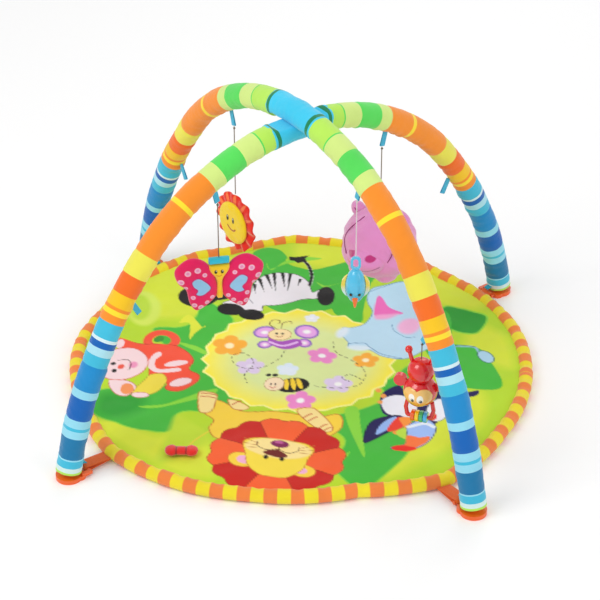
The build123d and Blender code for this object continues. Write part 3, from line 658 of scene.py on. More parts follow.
def clearing_things(mat):
    pink, lilac = (240, 140, 205), (226, 208, 240)
    for x, y, size, colour, heart in (
        (-135, 28, 32, (250, 176, 55), (255, 240, 190)), (39, 14, 27, pink, WHITE),
        (120, 10, 24, (250, 176, 55), (255, 245, 200)), (17, -132, 27, pink, WHITE),
        (-88, -34, 26, lilac, (235, 225, 245)), (78, -72, 26, lilac, WHITE),
        (6, 134, 14, (235, 240, 250), WHITE),
        (-18, -40, 20, (222, 236, 250), (238, 245, 252)),
    ):
        blossom(mat, x, y, size, colour, heart)
    trail = (60, 60, 50)
    mat.line(((-30, 18), (-38, -10), (-62, -34), (-92, -42), (-118, -28), (-124, -4), (-108, 8), (-90, -6),
              (-82, -30), (-94, -60), (-86, -86)), trail, 1.6, dashes=7)
    mat.line(((55, 64), (62, 34), (92, 10), (116, -14), (124, -46), (110, -74), (70, -86), (32, -84)),
             trail, 1.6, dashes=7)
    mat.line(((118, -52), (96, -40), (82, -52), (96, -60)), trail, 1.6, dashes=5)
    mat.line(((-160, -296), (-152, -270), (-126, -234)), (238, 214, 60), 3)
    violet, pale = (120, 80, 190), (235, 170, 235)
    for x, y, wide, high, turn in ((-76, 78, 22, 20, 40), (2, 88, 24, 22, -30), (-70, 36, 14, 13, 0),
                                   (2, 50, 14, 15, 0)):
        mat.oval(x, y, wide, high, violet, turn=turn)
        mat.oval(x, y, wide - 4, high - 4, pale, turn=turn, soft=5)
        mat.oval(x, y, wide * 0.3, high * 0.3, WHITE, soft=5)
    mat.fill(((-66, 62), (-44, 50), (-14, 62), (-2, 44), (-20, 26), (-40, 24), (-62, 40)), (170, 80, 190))
    mat.line(((-62, 46), (-38, 34), (-12, 50)), (235, 190, 245), 6)
    mat.oval(-47, 73, 22, 19, (252, 226, 170), edge=(170, 110, 60), edge_width=1.2)
    for x in (-53, -42):
        mat.oval(x, 76, 2.6, 3.4, BLACK)
    mat.line(((-54, 68), (-47, 64), (-40, 69)), (170, 70, 50), 1.6)
    mat.line(((-58, 94), (-70, 104), (-66, 120), (-52, 118), (-54, 108)), (110, 70, 30), 1.8)
    mat.line(((-48, 94), (-46, 112), (-32, 120), (-30, 112)), (110, 70, 30), 1.8)
    mat.oval(-16, -46, 16, 12, (228, 238, 250), turn=-20, soft=4)
    mat.oval(-2, -88, 30, 22, (20, 16, 14), turn=20)
    for x, turn in ((-14, 8), (-2, 14), (9, 20)):
        mat.oval(x, -87 + (x + 14) * 0.2, 4.6, 19 - abs(x + 4) * 0.2, (252, 214, 50), turn=turn)
    mat.oval(-36, -87, 18, 20, (252, 226, 190), edge=(170, 120, 70), edge_width=1.2)
    for x in (-42, -34):
        mat.oval(x, -88, 2, 3, BLACK)
    mat.line(((-44, -95), (-38, -99), (-32, -95)), (200, 60, 50), 1.6)
    for x in (-50, -38):
        mat.oval(x, -60, 5, 5, BLACK)


# %% The lion
def lion(mat):
    fur, cream = (250, 212, 66), (251, 226, 150)
    line = (200, 120, 40)
    mat.fill(((-150, -150), (-120, -150), (-80, -176), (-20, -168), (50, -175), (90, -165), (95, -210),
              (40, -260), (-60, -262), (-112, -262), (-132, -232), (-128, -205), (-150, -185)), fur,
              edge=line)
    mat.fill(((-166, -130), (-150, -124), (-134, -130), (-132, -150), (-136, -180), (-150, -188),
              (-160, -176)),
             cream, edge=line)
    mat.fill(((-112, -144), (-104, -140), (-86, -148), (-72, -160), (-76, -170), (-98, -170)), cream,
             edge=line)
    mat.fill(((14, -160), (40, -150), (62, -170), (82, -200), (80, -216), (64, -214), (36, -190)), cream,
             edge=line)
    for x, y in ((-148, -132), (-148, -142)):
        mat.line(((x - 14, y), (x, y + 3), (x + 14, y)), (200, 70, 30), 2.4)
    for x, y in ((-94, -148), (36, -172), (46, -180), (66, -200), (74, -208)):
        mat.line(((x - 8, y - 8), (x, y + 2), (x + 6, y + 6)), (200, 70, 30), 2.4)
    x, y = -4, -300
    red, orange = (204, 32, 20), (247, 98, 46)
    count = 8
    for i in range(count):
        start = math.radians(112 - i * 360 / count)
        end = start - 2 * math.pi / count
        turns = np.linspace(start, end, 14)
        bulge = 1 + 0.07 * np.abs(np.sin((turns - start) / (end - start) * math.pi * 2))
        lobe = [(x, y)] + [
            (x + 112 * b * math.cos(t), y + (103 if math.sin(t) > 0 else 98) * b * math.sin(t))
            for t, b in zip(turns, bulge)
        ]
        mat.fill(lobe, red if i % 2 else orange, smooth=False, edge=(160, 24, 14), edge_width=1.2)
    for ear_x, ear_y in ((-62, -318), (44, -330)):
        mat.oval(ear_x, ear_y, 24, 18, fur, turn=-20, edge=line, edge_width=1.4)
        mat.oval(ear_x + (4 if ear_x < 0 else -4), ear_y, 13, 10, (243, 178, 214), turn=-20)
    face = ((-66, -270), (-58, -300), (-50, -330), (-28, -350), (0, -355), (24, -350), (44, -328), (50, -296),
            (58, -270), (46, -256), (20, -250), (-28, -250), (-54, -256))
    mat.fill(face, (247, 220, 70), edge=line, edge_width=1.4)
    mat.oval(-4, -276, 58, 27, cream, soft=4)
    mat.oval(-3, -262, 16, 10, (130, 30, 90))
    mat.oval(-5, -258, 8, 4, (190, 90, 150))
    mat.line(((-3, -270), (-3, -282)), (120, 60, 30), 1.6)
    mat.line(((-42, -264), (-40, -276), (-22, -284), (-4, -278), (14, -284), (30, -276), (32, -264)),
             (90, 50, 30), 1.6)
    mat.fill(((-28, -290), (-4, -280), (14, -292), (6, -300), (-18, -298)), (110, 30, 24))
    for eye in (-22, 6):
        mat.oval(eye, -304, 4.2, 5.6, BLACK)
    for side in (-1, 1):
        for fan in (-6, 0, 6):
            mat.line(((-4 + side * 36, -274 + fan), (-4 + side * 62, -270 + fan * 2.2)), (190, 120, 50), 1.2)


# %% The zebra
def zebra(mat):
    edge = (60, 56, 60)
    body = ((-120, 236), (-112, 262), (-92, 282), (-66, 290), (-38, 284), (-16, 262), (-8, 236), (-2, 224),
            (12, 236), (14, 206), (-26, 196), (-60, 176), (-90, 166), (-92, 146), (-132, 148), (-168, 160),
            (-150, 178), (-124, 196))
    mat.fill(body, (238, 234, 240), edge=edge, edge_width=1.6)
    for top, bottom, width in (
        ((-112, 262), (-96, 216), 9), ((-100, 278), (-82, 228), 9), ((-86, 286), (-74, 218), 8),
        ((-70, 290), (-58, 232), 8), ((-54, 289), (-52, 226), 8), ((-32, 272), (-34, 246), 7),
        ((-118, 240), (-112, 206), 7),
    ):
        mat.fill(((top[0] - width / 2, top[1]), (top[0] + width / 2, top[1]), bottom), BLACK, smooth=False)
    mat.oval(24, 213, 17, 34, BLACK, turn=6)
    mat.oval(-150, 144, 27, 19, BLACK, turn=-10)
    mat.oval(-109, 132, 25, 17, BLACK, turn=-4)
    mat.oval(-218, 186, 40, 38, BLACK)
    mat.oval(-185, 196, 34, 24, BLACK)
    mat.line(((-12, 250), (-12, 285), (-22, 318), (-36, 338)), WHITE, 7)
    mat.line(((-12, 250), (-12, 285), (-22, 318), (-36, 338)), BLACK, 7, dashes=6)
    mat.fill(((-64, 346), (-50, 348), (-26, 356), (-32, 344), (-28, 334), (-44, 326), (-52, 334), (-62, 334)),
             BLACK, smooth=False)
    mat.line(((-125, 190), (-112, 172)), (150, 150, 160), 2)


# %% The elephant
def elephant(mat):
    blue, shade = (190, 226, 246), (96, 150, 190)
    body = ((172, 284), (116, 260), (103, 232), (106, 200), (118, 168), (106, 130), (84, 114), (68, 112),
            (66, 92), (82, 66), (84, 52), (104, 46), (124, 44), (150, 24), (184, 18), (205, 30), (232, 60),
            (262, 60), (272, 84), (246, 150), (230, 230), (204, 280))
    mat.fill(body, blue, edge=shade, edge_width=1.6)
    mat.oval(68, 96, 10, 18, (225, 240, 250), turn=-20, soft=8)
    mat.oval(104, 50, 22, 8, (222, 240, 250), soft=8)
    mat.fill(((122, 226), (132, 222), (148, 190), (176, 172), (150, 164), (122, 160)), (240, 110, 190))
    mat.fill(((124, 160), (150, 166), (168, 170), (150, 152), (128, 146)), (246, 168, 214), soft=8)
    mat.oval(190, 130, 20, 27, (246, 184, 222), turn=-18, soft=8)
    mat.line(((105, 240), (128, 262), (164, 284)), shade, 1.4)
    mat.line(((84, 62), (112, 66), (124, 52), (150, 30), (186, 20)), shade, 1.8)
    mat.line(((158, 132), (164, 112), (186, 94), (204, 96)), shade, 1.4)
    mat.line(((270, 76), (296, 78), (316, 76), (324, 62)), (150, 200, 220), 5)
    mat.line(((270, 76), (296, 80), (318, 77)), (60, 110, 90), 1.6)
    mat.oval(338, 48, 13, 21, (176, 216, 238), turn=32, edge=(40, 110, 90), edge_width=2)


# %% The monkey
def monkey(mat):
    coat, skin = (248, 84, 56), (248, 218, 222)
    edge = (190, 40, 24)
    ring = [(-262 + 26 * math.cos(t), 26 + 26 * math.sin(t)) for t in np.linspace(-0.6, 4.9, 14)]
    mat.line(ring, coat, 17)
    mat.oval(-268, 30, 9, 11, (60, 150, 50), turn=-30)
    mat.fill(((-338, 22), (-300, 10), (-262, 14), (-232, 12), (-206, -8), (-192, -34), (-196, -62),
              (-176, -76),
              (-174, -96), (-192, -124), (-210, -134), (-228, -126), (-230, -108), (-262, -100), (-276, -40),
              (-330, -14)), coat, edge=edge, edge_width=1.6)
    mat.fill(((-268, -20), (-258, -12), (-254, -24), (-262, -40), (-258, -60), (-246, -66), (-216, -60),
              (-212, -70), (-250, -78), (-270, -64), (-274, -44)), skin)
    mat.oval(-222, -46, 22, 9, skin, turn=18)
    mat.oval(-204, -104, 22, 12, skin, turn=36, edge=(200, 90, 70), edge_width=1)
    mat.fill(((-270, -100), (-262, -84), (-240, -82), (-230, -104), (-240, -134), (-262, -148), (-286, -142)),
             (238, 218, 70), edge=(170, 150, 40), edge_width=1.2)
    mat.fill(((-332, -106), (-300, -108), (-282, -124), (-292, -152), (-312, -150), (-330, -128)), skin,
             edge=(200, 90, 70), edge_width=1.4)
    mat.oval(-297, -132, 12, 17, (246, 150, 90), turn=10)
    mat.oval(-270, -148, 16, 8, skin, edge=(200, 90, 70), edge_width=1)
    mat.oval(-322, -56, 48, 52, skin, turn=-14, edge=(220, 90, 70), edge_width=2)
    mat.fill(((-345, 18), (-338, 26), (-310, 12), (-288, -6), (-300, -2), (-330, 0)), coat)
    mat.oval(-300, -56, 8, 10, (240, 150, 190), soft=4)
    mat.oval(-321, -65, 6, 8, (236, 90, 70), turn=-16)
    mat.oval(-337, -57, 4.6, 5.6, BLACK)
    mat.oval(-331, -79, 4.6, 5.6, BLACK)
    mat.line(((-330, -44), (-312, -42), (-304, -58), (-306, -74)), (90, 50, 40), 1.8)
    mat.oval(-337, 8, 8, 14, skin)


# %% The toucan
def toucan(mat):
    navy = (24, 14, 84)
    mat.fill(((158, -92), (186, -64), (204, -84), (232, -60), (300, -70), (330, -62), (322, -82), (270, -96),
              (268, -150), (256, -176), (240, -158), (180, -158), (162, -140)), navy)
    mat.fill(((162, -130), (160, -108), (176, -94), (200, -94), (222, -116), (226, -150), (206, -158),
              (176, -152)),
             (236, 236, 246), edge=navy, edge_width=1.6)
    mat.oval(262, -130, 20, 34, (240, 240, 248), turn=-8, edge=(70, 90, 110), edge_width=1.6)
    mat.oval(254, -150, 7, 12, (230, 40, 40))
    mat.fill(((186, -154), (204, -160), (202, -184), (186, -200), (158, -232), (142, -244), (140, -214),
              (150, -176)),
             navy, edge=(10, 6, 50), edge_width=2)
    mat.fill(((180, -164), (192, -160), (184, -190), (160, -218), (164, -190)), (150, 185, 245))
    mat.fill(((192, -160), (206, -166), (204, -190), (184, -204), (178, -196)), (238, 60, 40))
    mat.fill(((196, -162), (216, -160), (216, -200), (196, -212), (188, -204), (206, -190)), (250, 150, 60))
    mat.fill(((196, -200), (212, -190), (228, -200), (230, -216), (210, -222), (196, -212)), (190, 225, 70))
    beak = ((226, -166), (240, -158), (258, -172), (262, -196), (248, -232), (222, -252), (194, -256),
            (190, -250), (212, -238), (214, -214), (212, -186))
    mat.fill(beak, (160, 192, 248), edge=(40, 60, 110), edge_width=1.6)
    mat.fill(((214, -212), (236, -214), (254, -210), (246, -232), (222, -250), (200, -252), (194, -250),
              (212, -238)),
             (250, 120, 60))
    mat.fill(((190, -250), (206, -242), (234, -246), (218, -258), (196, -258)), (240, 40, 25))
    mat.line(((214, -186), (240, -174), (258, -182)), (230, 240, 252), 8)
    for x, y in ((152, -82), (162, -96), (158, -116)):
        mat.oval(x, y, 5, 6, (246, 160, 80))


# %% The printed top
PRINT_SPACING = 2.6
points, faces, flat = mat_cloth(PRINT_SPACING, PIPING * 0.9, top_surface)
mat_print = Print(flat, LIME)
for drawing in (leaves, clearing, clearing_things, zebra, elephant, monkey, toucan, lion):
    drawing(mat_print)
printed_cotton = cloth("printed cotton", attribute="print", scale=420, variation=0.16, bump=0.25, sheen=0.15)
mat_top = piece("mat_top", points, faces, ROOT, printed_cotton,
                ("mat_printed_top", "mat_wadding"))
paint_points(mat_top, "print", mat_print.colour)
print(f"printed top: {len(points)} points")

# %% [markdown]
# The top is one with the wadding under it. Below lies a plain underlay, a thin sheet that follows the same
# outline on the floor.

# %% The underlay
plain_underlay = cloth("plain underlay", (236, 234, 226), scale=500, variation=0.1)
points, faces, flat = mat_cloth(14.0, PIPING * 1.2, lambda x, y: 0.8 + 0.3 * unevenness(x, y, 5, 90))
faces = [tuple(reversed(face)) for face in faces]
underlay = piece("mat_underside", points, faces, ROOT, plain_underlay, ("mat_underlay",))
underlay.modifiers.new("cloth thickness", "SOLIDIFY").thickness = 0.6 * MM

# %% [markdown]
# The binding is a strip of striped cotton folded over a cord of wadding. Each stripe swells a little
# between its stitches, and small random swellings run along it. The stripes come from how far
# round the edge a point is, so they stay sharp.

# %% The striped binding
STRIPE_PAIRS = 56
BINDING_STEPS = 1120
around = np.linspace(-math.pi, math.pi, BINDING_STEPS, endpoint=False)
stripe = (np.degrees(around) % 360) / 360 * STRIPE_PAIRS * 2
swell = 1 - 0.06 * np.abs(np.cos(stripe * math.pi)) + 0.035 * unevenness(around * 400, around * 0, 21, 35)
binding_radius = PIPING * np.clip(swell, 0.86, 1.0)
centre = mat_edge(np.degrees(around)) - PIPING
line = np.stack([centre * np.cos(around), centre * np.sin(around), binding_radius], 1) * MM
points, faces = tube(line, binding_radius * MM, 20, closed=True)
edge_number = np.repeat(stripe, 20)


def striped_binding():
    """Orange and yellow stripes by the number stored on each point."""
    material = cloth("striped binding", (240, 130, 60), scale=600, variation=0.25, bump=0.35)
    nodes, links = material.node_tree.nodes, material.node_tree.links
    number = nodes.new("ShaderNodeAttribute")
    number.attribute_name = "stripe"
    halves = nodes.new("ShaderNodeMath")
    halves.operation = "PINGPONG"
    halves.inputs[1].default_value = 1.0
    links.new(number.outputs["Fac"], halves.inputs[0])
    bands = nodes.new("ShaderNodeValToRGB")
    bands.color_ramp.interpolation = "EASE"
    bands.color_ramp.elements[0].position = 0.46
    bands.color_ramp.elements[0].color = rgba((243, 132, 62))
    bands.color_ramp.elements[1].position = 0.54
    bands.color_ramp.elements[1].color = rgba((242, 222, 40))
    links.new(halves.outputs[0], bands.inputs[0])
    woven = next(node for node in nodes if node.type == "GROUP")
    links.new(bands.outputs["Color"], woven.inputs["Colour"])
    return material


binding = piece("mat_binding", points, faces, ROOT, striped_binding(), ("mat_piping",))
number_points(binding, "stripe", edge_number)

# %% [markdown]
# ## Strips of ribbon and webbing
# The straps, tabs and hanging loops are all one thing: a flat strip that follows a line. Its section has
# rounded edges, so that light catches them as it does on a woven edge.

# %% A strip along a line
STRIP_SECTION = (
    (-0.5, -0.25), (-0.5, 0.25), (-0.47, 0.5), (-0.16, 0.5), (0.16, 0.5), (0.47, 0.5),
    (0.5, 0.25), (0.5, -0.25), (0.47, -0.5), (0.16, -0.5), (-0.16, -0.5), (-0.47, -0.5),
)


def strip(line, across, width, thickness):
    """Points and faces of a flat strip. Its width runs along one direction all the way."""
    line = np.asarray(line, float)
    across = np.asarray(across, float)
    ahead = np.gradient(line, axis=0)
    upwards = np.cross(ahead / np.linalg.norm(ahead, axis=1)[:, None], across)
    sides = len(STRIP_SECTION)
    section = np.array(STRIP_SECTION)
    points = (
        line[:, None]
        + across * section[None, :, 0, None] * width
        + upwards[:, None] * section[None, :, 1, None] * thickness
    ).reshape(-1, 3)
    faces = []
    for i in range(len(line) - 1):
        for j in range(sides):
            k = (j + 1) % sides
            faces.append((i * sides + j, (i + 1) * sides + j, (i + 1) * sides + k, i * sides + k))
    faces.append(tuple(range(sides)))
    faces.append(tuple((len(line) - 1) * sides + j for j in range(sides))[::-1])
    return points, faces


def joined(parts):
    """Several point and face lists as one."""
    points, faces, count = [], [], 0
    for more_points, more_faces in parts:
        points.append(np.asarray(more_points))
        faces += [tuple(i + count for i in face) for face in more_faces]
        count += len(more_points)
    return np.concatenate(points), faces


# %% [markdown]
# ## The two arches
# Each arch is a pole inside foam inside a striped sleeve. Its line is a flat crown that turns into a
# steeper leg. The numbers are in millimetres, and s is the length along the line from the crown.


# %% The line of an arch
CROWN_TURN, LEG_TURN = math.radians(51), math.radians(79)
CROSSING = np.array((0.0, -36.0))
SLEEVE_RADIUS = 22.0


class Arch:
    def __init__(self, body, turn, crown, crown_radius, leg_radius):
        self.body, self.crown = body, crown
        self.crown_radius, self.leg_radius = crown_radius, leg_radius
        self.out = np.array((math.cos(math.radians(turn)), math.sin(math.radians(turn)), 0.0))
        self.side = np.array((-self.out[1], self.out[0], 0.0))
        self.crown_length = crown_radius * CROWN_TURN
        self.length = self.crown_length + leg_radius * (LEG_TURN - CROWN_TURN)

    def slope(self, s):
        leg = CROWN_TURN + (np.abs(s) - self.crown_length) / self.leg_radius
        return np.where(np.abs(s) < self.crown_length, np.abs(s) / self.crown_radius, leg)

    def point(self, s):
        """The centre line at a signed length, as points in millimetres."""
        s = np.atleast_1d(np.asarray(s, float))
        slope = self.slope(s)
        first = np.minimum(slope, CROWN_TURN)
        away = self.crown_radius * np.sin(first) + self.leg_radius * (np.sin(slope) - np.sin(first))
        drop = self.crown_radius * (1 - np.cos(first)) + self.leg_radius * (np.cos(first) - np.cos(slope))
        flat = CROSSING + (np.sign(s) * away)[:, None] * self.out[:2]
        return np.column_stack([flat, self.crown - drop])

    def upwards(self, s):
        """The direction in the arch's plane that points away from its inside."""
        s = np.atleast_1d(np.asarray(s, float))
        slope = self.slope(s)
        return (np.sign(s) * np.sin(slope))[:, None] * self.out + np.cos(slope)[:,
                                                                                None] * np.array((0, 0, 1.0))


LOWER = Arch(ROOT, 44, 521, 417.1, 801.3)
UPPER = Arch("upper_arch", -46, 545, 398.6, 871.7)
print(f"half lengths: {LOWER.length:.1f} and {UPPER.length:.1f} mm")

# %% [markdown]
# The sleeves are printed with bands of many widths. A colour ramp with hard steps holds them, and it is
# read at a number stored on each point: how far that point is from the foot. The same ramp dresses all
# four sleeves, because they are cut from the same cloth.

# %% The bands of the sleeve cloth
BAND_REACH = 730.0
BLUE, TEAL, PALE_BLUE, DARK_BLUE = (24, 140, 205), (64, 190, 222), (150, 220, 240), (6, 100, 185)
ORANGE, GOLD, YELLOW, PALE_YELLOW = (250, 146, 40), (250, 200, 30), (255, 226, 50), (240, 232, 84)
PALE_LIME, GREEN, BAND_LIME = (214, 238, 135), (88, 222, 92), (186, 236, 90)
BANDS = (
    (0, BAND_LIME), (4, (215, 240, 235)), (14, TEAL), (26, PALE_BLUE), (31, (20, 120, 170)), (70, PALE_BLUE),
    (85, TEAL), (89, PALE_BLUE), (105, DARK_BLUE), (145, PALE_BLUE), (157, BLUE), (204, TEAL),
    (224, (175, 228, 242)), (238, DARK_BLUE), (249, (215, 240, 245)), (255, TEAL), (284, ORANGE),
    (299, YELLOW),
    (306, ORANGE), (311, GOLD), (334, (246, 112, 30)), (369, PALE_YELLOW), (410, ORANGE), (502, YELLOW),
    (512, ORANGE), (565, PALE_LIME), (591, GREEN), (638, PALE_LIME), (674, GREEN), (678, BAND_LIME),
)


def banded_cloth(name, bands, reach, attribute):
    """Cloth whose colour steps along a stored number."""
    material = cloth(name, (255, 255, 255), scale=700, variation=0.22, bump=0.3, sheen=0.3)
    nodes, links = material.node_tree.nodes, material.node_tree.links
    number = nodes.new("ShaderNodeAttribute")
    number.attribute_name = attribute
    share = nodes.new("ShaderNodeMath")
    share.operation = "DIVIDE"
    share.inputs[1].default_value = reach
    ramp = nodes.new("ShaderNodeValToRGB")
    ramp.color_ramp.interpolation = "CONSTANT"
    elements = ramp.color_ramp.elements
    elements.remove(elements[1])
    elements[0].position, elements[0].color = 0.0, rgba(bands[0][1])
    for start, colour in bands[1:]:
        elements.new(start / reach).color = rgba(colour)
    links.new(number.outputs["Fac"], share.inputs[0])
    links.new(share.outputs[0], ramp.inputs[0])
    woven = next(node for node in nodes if node.type == "GROUP")
    links.new(ramp.outputs["Color"], woven.inputs["Colour"])
    return material


sleeve_cloth = banded_cloth("striped sleeve cloth", BANDS, BAND_REACH, "from_foot")
crown_cloth = banded_cloth("crown cloth", ((0, (60, 205, 242)), (50, (24, 132, 84)),
                                           (57, (60, 205, 242))), 100, "from_crown")

# %% [markdown]
# A sleeve is a tube pulled over foam that bends. Its inside edge has too much cloth, so it bunches into
# short folds there, and each seam between two panels pulls in a little. Both are small changes of the
# tube's radius.

# %% Sleeves
SLEEVE_START = 58.0  # from the crown, a little way under the crown cover
SEAMS = (105.0, 204.0, 284.0, 369.0, 410.0, 565.0, 638.0)
SIDES = 40


def padded_tube(arch, lengths, radii):
    """Points of a tube along an arch, with a radius for each length and direction."""
    turns = np.linspace(0, 2 * math.pi, SIDES, endpoint=False)
    line, up = arch.point(lengths), arch.upwards(lengths)
    ring = np.cos(turns)[None, :, None] * up[:, None] + np.sin(turns)[None, :, None] * arch.side
    points = (line[:, None] + ring * radii[:, :, None]).reshape(-1, 3)
    rows, faces = len(lengths), []
    for i in range(rows - 1):
        for j in range(SIDES):
            k = (j + 1) % SIDES
            faces.append((i * SIDES + j, i * SIDES + k, (i + 1) * SIDES + k, (i + 1) * SIDES + j))
    faces.append(tuple(range(SIDES))[::-1])
    faces.append(tuple((rows - 1) * SIDES + j for j in range(SIDES)))
    return points, faces


def sleeve(name, arch, direction, seed):
    start, end = SLEEVE_START, arch.length - 0.5
    lengths = np.arange(start, end, 1.5)
    from_foot = arch.length - lengths
    turns = np.linspace(0, 2 * math.pi, SIDES, endpoint=False)
    s, turn = np.meshgrid(lengths, turns, indexing="ij")
    under = np.clip(-np.cos(turn), 0, 1) ** 1.5
    folds = unevenness(s, np.sin(turn) * 9, seed, 26) * under
    sag = unevenness(s, turn * 14, seed + 1, 95)
    fine = unevenness(s + 14 * np.sin(turn), np.cos(turn) * 22, seed + 2, 17)
    pull = sum(np.exp(-(((arch.length - s) - seam) / 3.0) ** 2) for seam in SEAMS)
    radii = SLEEVE_RADIUS + 0.5 + 0.6 * sag + 0.85 * folds + 0.22 * fine - 0.9 * pull
    radii = np.maximum(radii, SLEEVE_RADIUS - 1.2)  # stays outside the foam
    points, faces = padded_tube(arch, lengths * direction, radii)
    if direction < 0:
        faces = [face[::-1] for face in faces]
    made = piece(f"{name}_cloth", points * MM, faces, arch.body, sleeve_cloth, (name,))
    number_points(made, "from_foot", np.repeat(from_foot, SIDES))


for name, arch, direction, seed in (
    ("lower_arch_sleeve_front", LOWER, -1, 31), ("lower_arch_sleeve_back", LOWER, 1, 41),
    ("upper_arch_sleeve_front", UPPER, 1, 51), ("upper_arch_sleeve_back", UPPER, -1, 61),
):
    sleeve(name, arch, direction, seed)
print("sleeves: 4")

# %% [markdown]
# Where the arches cross, a blue cover hides each crown. The two crowns press on each other there, so the
# upper cover is flat underneath and the lower cover is flat on top.

# %% Crown covers
MEETING = (LOWER.crown + UPPER.crown) / 2
COVER_REACH = 62  # half the length of a crown cover
FLAT_REACH = 46  # half the length of its flat
SOFTNESS = 1.0  # how gently the cloth turns into the flat


def crown_cover(name, arch, above, seed):
    lengths = np.linspace(-COVER_REACH, COVER_REACH, 94)
    turns = np.linspace(0, 2 * math.pi, SIDES, endpoint=False)
    s, turn = np.meshgrid(lengths, turns, indexing="ij")
    soft = 0.45 * unevenness(s, turn * 16, seed, 40) + 0.2 * unevenness(s, turn * 20, seed, 14)
    radii = SLEEVE_RADIUS + 1.4 + soft
    radii -= 1.6 * np.exp(-((COVER_REACH - np.abs(s)) / 2.5))
    up = arch.upwards(lengths)
    line = arch.point(lengths)
    ring = np.cos(turns)[None, :, None] * up[:, None] + np.sin(turns)[None, :, None] * arch.side
    points = line[:, None] + ring * radii[:, :, None]
    free = np.clip((np.abs(s) - FLAT_REACH) / (COVER_REACH - FLAT_REACH), 0, 1) * 9
    facing = 1 if above else -1
    room = facing * (points[:, :, 2] - MEETING) - 0.2 + free
    points[:, :, 2] += facing * (SOFTNESS * np.logaddexp(0, room / SOFTNESS) - room)
    _, faces = padded_tube(arch, lengths, radii)
    made = piece(
        f"{name}_cloth", points.reshape(-1, 3) * MM, faces, arch.body, crown_cloth, (name,)
    )
    number_points(made, "from_crown", np.abs(s).ravel())


crown_cover("lower_arch_crown_cover", LOWER, False, 71)
crown_cover("upper_arch_crown_cover", UPPER, True, 81)

# %% [markdown]
# Inside the sleeves are the foam, the white poles and the joint that the crown turns on. They are hidden,
# and they still get their own finish. The orange feet are hard plastic.

# %% Feet and insides
orange_plastic = plastic("orange plastic", (240, 96, 22), rough=0.35, coat=0.25)
pole_plastic = plastic("white pole", (240, 240, 240), rough=0.4, coat=0.1)
foam = cloth("foam", (244, 240, 226), scale=300, variation=0.1, bump=0.8)
for name in ("lower", "upper"):
    dress(f"{name}_arch_foot_clips", orange_plastic)
    dress(f"{name}_arch_connector", pole_plastic)
    dress(f"{name}_arch_crown_padding", foam)
    for side in ("front", "back"):
        dress(f"{name}_arch_pole_{side}", pole_plastic)
        dress(f"{name}_arch_padding_{side}", foam)

# %% [markdown]
# Each foot has a hook bar, and a loop of orange webbing sewn to the mat slips over it. A teal ribbon tab
# is sewn into the hem of each sleeve just above the foot.

# %% Straps and hem tabs
FOOT_REACH = 488.0
BAR = np.array((FOOT_REACH - 31, 8.0))  # distance from the crossing, and height
STRAP_WIDTH, STRAP_THICKNESS, STRAP_SHIFT, BAR_LOOP = 24.0, 1.4, -2.0, 4.7
STRAP_TUCK = 6  # how far a strap goes under the binding
webbing = cloth("orange webbing", (242, 106, 34), scale=520, variation=0.2, bump=0.7)
teal_ribbon = cloth("teal ribbon", (30, 165, 190), scale=900, variation=0.2, bump=0.4)


def foot_line(arch, side, reach_and_height):
    """Points beside a foot, from distances outwards and heights."""
    flat = np.asarray(reach_and_height, float)
    out = arch.out * side
    cross = np.cross((0, 0, 1.0), out)
    line = np.array((*CROSSING, 0.0)) + flat[:, :1] * out + flat[:, 1:] * np.array((0, 0, 1.0))
    return line, cross


strap_parts = []
for arch in (LOWER, UPPER):
    for side in (-1, 1):
        anchor = foot_line(arch, side, [BAR])[0][0]
        towards_foot = math.degrees(math.atan2(anchor[1], anchor[0]))
        mat_side = BAR[0] - (np.hypot(*anchor[:2]) - mat_edge(towards_foot) + STRAP_TUCK)
        turns = np.radians(np.linspace(125, -125, 26))
        loop = [(BAR[0] + BAR_LOOP * math.cos(t), BAR[1] + BAR_LOOP * math.sin(t)) for t in turns]
        line = [(mat_side, 9.2), (mat_side + 6, 9.6), (mat_side + 12, 10.0), *loop, (mat_side + 12, 7.2),
                (mat_side + 6, 7.4), (mat_side, 7.6)]
        points, cross = foot_line(arch, side, rounded(line, steps=3, closed=False))
        strap_parts.append(strip(points + cross * STRAP_SHIFT, cross, STRAP_WIDTH, STRAP_THICKNESS))
points, faces = joined(strap_parts)
piece("mat_webbing", points * MM, faces, ROOT, webbing, ("mat_foot_straps",))

for arch, name in ((LOWER, "lower_arch_hem_tabs"), (UPPER, "upper_arch_hem_tabs")):
    tab_parts = []
    for side in (-1, 1):
        points, cross = foot_line(arch, side, [(470, 20), (466, 20.6), (461, 20.4), (456, 19), (454.5, 17.4)])
        tab_parts.append(strip(points, cross, 11, 1.5))
    points, faces = joined(tab_parts)
    piece(f"{name}_ribbon", points * MM, faces, arch.body, teal_ribbon, (name,))
print("straps: 4, hem tabs: 4")

# %% [markdown]
# Eight ribbon loops are sewn to the inside of the arches. Five of them carry a toy. A loop is a folded
# ribbon that hangs a little open at the bottom, where a cord can pass.

